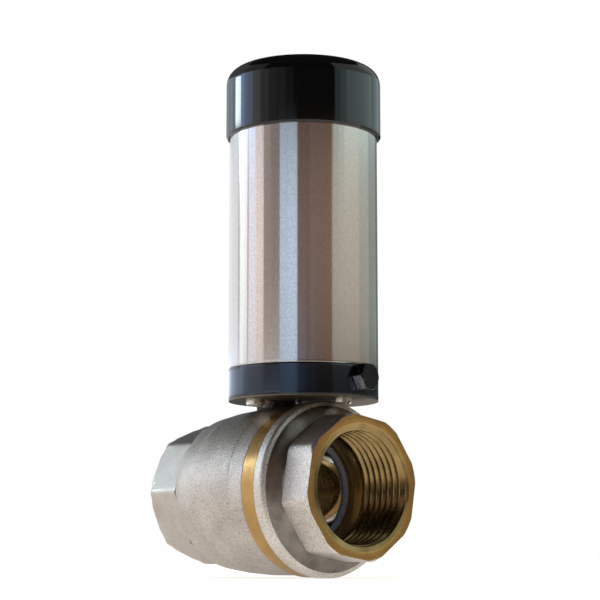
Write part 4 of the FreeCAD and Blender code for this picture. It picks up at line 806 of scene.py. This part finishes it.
# %% Finishes for the CAD nodes
FINISHES = {
    "polished_ball": ("#B9B4AA", "#C9C5BC", 1.0, 0.07, 0.5, 0.002, "ball"),
    "machined_brass": ("#B08A48", "#C79F58", 1.0, 0.28, 0.3, 0.006,
                       "stem output_bush_lower output_bush_upper mounting_nut lower_spacers upper_spacers"),
    "ptfe_seat": ("#74839C", "#8391A9", 0.0, 0.28, 0.8, 0.01,
                  "seat_ring_inlet seat_ring_outlet stem_thrust_washer"),
    "nitrile_rubber": ("#141414", "#1C1C1C", 0.0, 0.55, 0.4, 0.02,
                       "stem_o_ring_lower stem_o_ring_upper end_cap_o_ring collar_o_ring top_cover_o_ring "
                       "cable_grommet"),
    "zinc_plated_steel": ("#A8A29A", "#C2BCB4", 1.0, 0.32, 0.5, 0.008,
                          "vent_screw gearbox_screws motor_screws board_screws gearbox_pillars "
                          "board_standoffs"),
    # The base screws' zinc is lifted to near white, far above the other zinc parts: painted highlight.
    "zinc_screws_painted_highlight": ("#EDE6D6", "#FFFDF6", 1.0, 0.20, 0.5, 0.006, "base_screws"),
    # The base plate's zinc is kept dark: painted shade for its underside, which lies in shadow above the
    # body.
    "zinc_plate_painted_shade": ("#6A6257", "#867C6E", 1.0, 0.42, 0.6, 0.012, "base_plate"),
    "ground_steel": ("#A6A6A8", "#BDBDC0", 1.0, 0.18, 0.2, 0.003,
                     "locating_pin gear_arbors motor_shaft output_shaft"),
    "circuit_board_lacquer": ("#0F4A2A", "#145A34", 0.0, 0.30, 1.2, 0.01, "sensor_board circuit_board"),
    "black_epoxy": ("#121212", "#1B1B1B", 0.0, 0.45, 0.3, 0.008, "hall_sensors capacitor"),
    "hobbed_brass": ("#B28C4A", "#CBA45E", 1.0, 0.26, 0.25, 0.006,
                     "compound_gear_1 compound_gear_2 motor_pinion"),
    "hobbed_steel": ("#9A9A9C", "#B2B2B5", 1.0, 0.26, 0.25, 0.006,
                     "compound_gear_3 compound_gear_4 output_gear"),
    "ferrite": ("#1F1E20", "#2B2A2C", 0.0, 0.55, 0.3, 0.015, "position_magnet motor_magnets"),
    "deep_drawn_steel": ("#A4A6A8", "#B8BABC", 1.0, 0.25, 0.6, 0.006,
                         "motor_can gearbox_lower_plate gearbox_upper_plate"),
    "electrical_steel": ("#6E7073", "#85878A", 1.0, 0.42, 0.35, 0.012, "armature_core"),
    "nylon": ("#D8D4C8", "#E4E0D6", 0.0, 0.42, 1.0, 0.01, "motor_end_bell gear_sleeves"),
    "enamelled_copper": ("#8C4A26", "#B0663A", 1.0, 0.25, 0.22, 0.03,
                         "armature_windings commutator brush_arms"),
    "carbon_graphite": ("#1E1F21", "#2C2D30", 0.0, 0.50, 0.3, 0.01, "motor_brushes"),
    "tinned_brass": ("#B4B0A6", "#C6C2B8", 1.0, 0.30, 0.4, 0.006, "motor_terminals"),
    "sintered_bronze": ("#7C5A34", "#946E42", 1.0, 0.45, 0.18, 0.02, "motor_bushes"),
    "blue_relay_case": ("#1C4FA0", "#2459AE", 0.0, 0.32, 1.5, 0.008, "relay"),
    "green_polyamide": ("#2E8B4A", "#379A55", 0.0, 0.38, 0.9, 0.01, "terminal_block"),
}
ROUGHNESS_SPREAD = 0.15


def dress(node, material):
    """Gives a CAD node its material. Its mesh stays as it is."""
    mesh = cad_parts[node].data
    mesh.materials.clear()
    mesh.materials.append(material)


for finish, (first, second, metallic, roughness, size, height, nodes) in FINISHES.items():
    material, tree = blank_material(finish)
    noise = grain(tree, size, 3.0)
    spread = (roughness * (1 - ROUGHNESS_SPREAD), roughness * (1 + ROUGHNESS_SPREAD))
    surface(tree, between(tree, noise, first, second), spread, [(noise, height, 0.6)], noise,
            Metallic=metallic)
    for node in nodes.split():
        dress(node, material)
print("finished", sum(len(row[-1].split()) for row in FINISHES.values()), "CAD nodes")

# %% [markdown]
# The collar's bolt is blackened steel. The flat that faces down and out to the front is painted bright: a
# painted highlight where light falls on it. The flat is picked by the direction that it faces, which is the
# same from every side that the part is seen from.

# %% Collar bolt finish
# The direction of the flat that gets the painted highlight.
LIT_FLAT_DIRECTION = (0.31, -0.81, -0.5)
material, tree = blank_material("black_oxide_steel")
oxide_grain = grain(tree, 0.3, 3.0)
facing = add_node(tree, "ShaderNodeNewGeometry")
towards_flat = add_node(tree, "ShaderNodeVectorMath", {0: facing.outputs["True Normal"], 1: LIT_FLAT_DIRECTION},
                        operation="DOT_PRODUCT")
highlight_share = add_node(tree, "ShaderNodeMapRange", {"Value": towards_flat.outputs["Value"], "From Min": 0.90,
                                               "From Max": 0.97})
oxide_and_painted_highlight = add_node(tree, "ShaderNodeMix", {0: highlight_share.outputs[0],
                                        6: between(tree, oxide_grain, "#2E3433", "#3C4342"),
                                        7: between(tree, oxide_grain, "#9A9CA6", "#D6D8E0")},
                data_type="RGBA")
surface(tree, oxide_and_painted_highlight.outputs[2], (0.22, 0.32), [(oxide_grain, 0.01, 0.5)], oxide_grain, Metallic=1.0)
dress("collar_bolt", material)
print("collar_bolt", material.name)

# %% [markdown]
# ## Sizes and end
# The visual model's box is printed, in millimetres.

# %% Sizes and end
low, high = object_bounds()
print("visual box", [round((b - a) / mm, 2) for a, b in zip(low, high)], "mm")
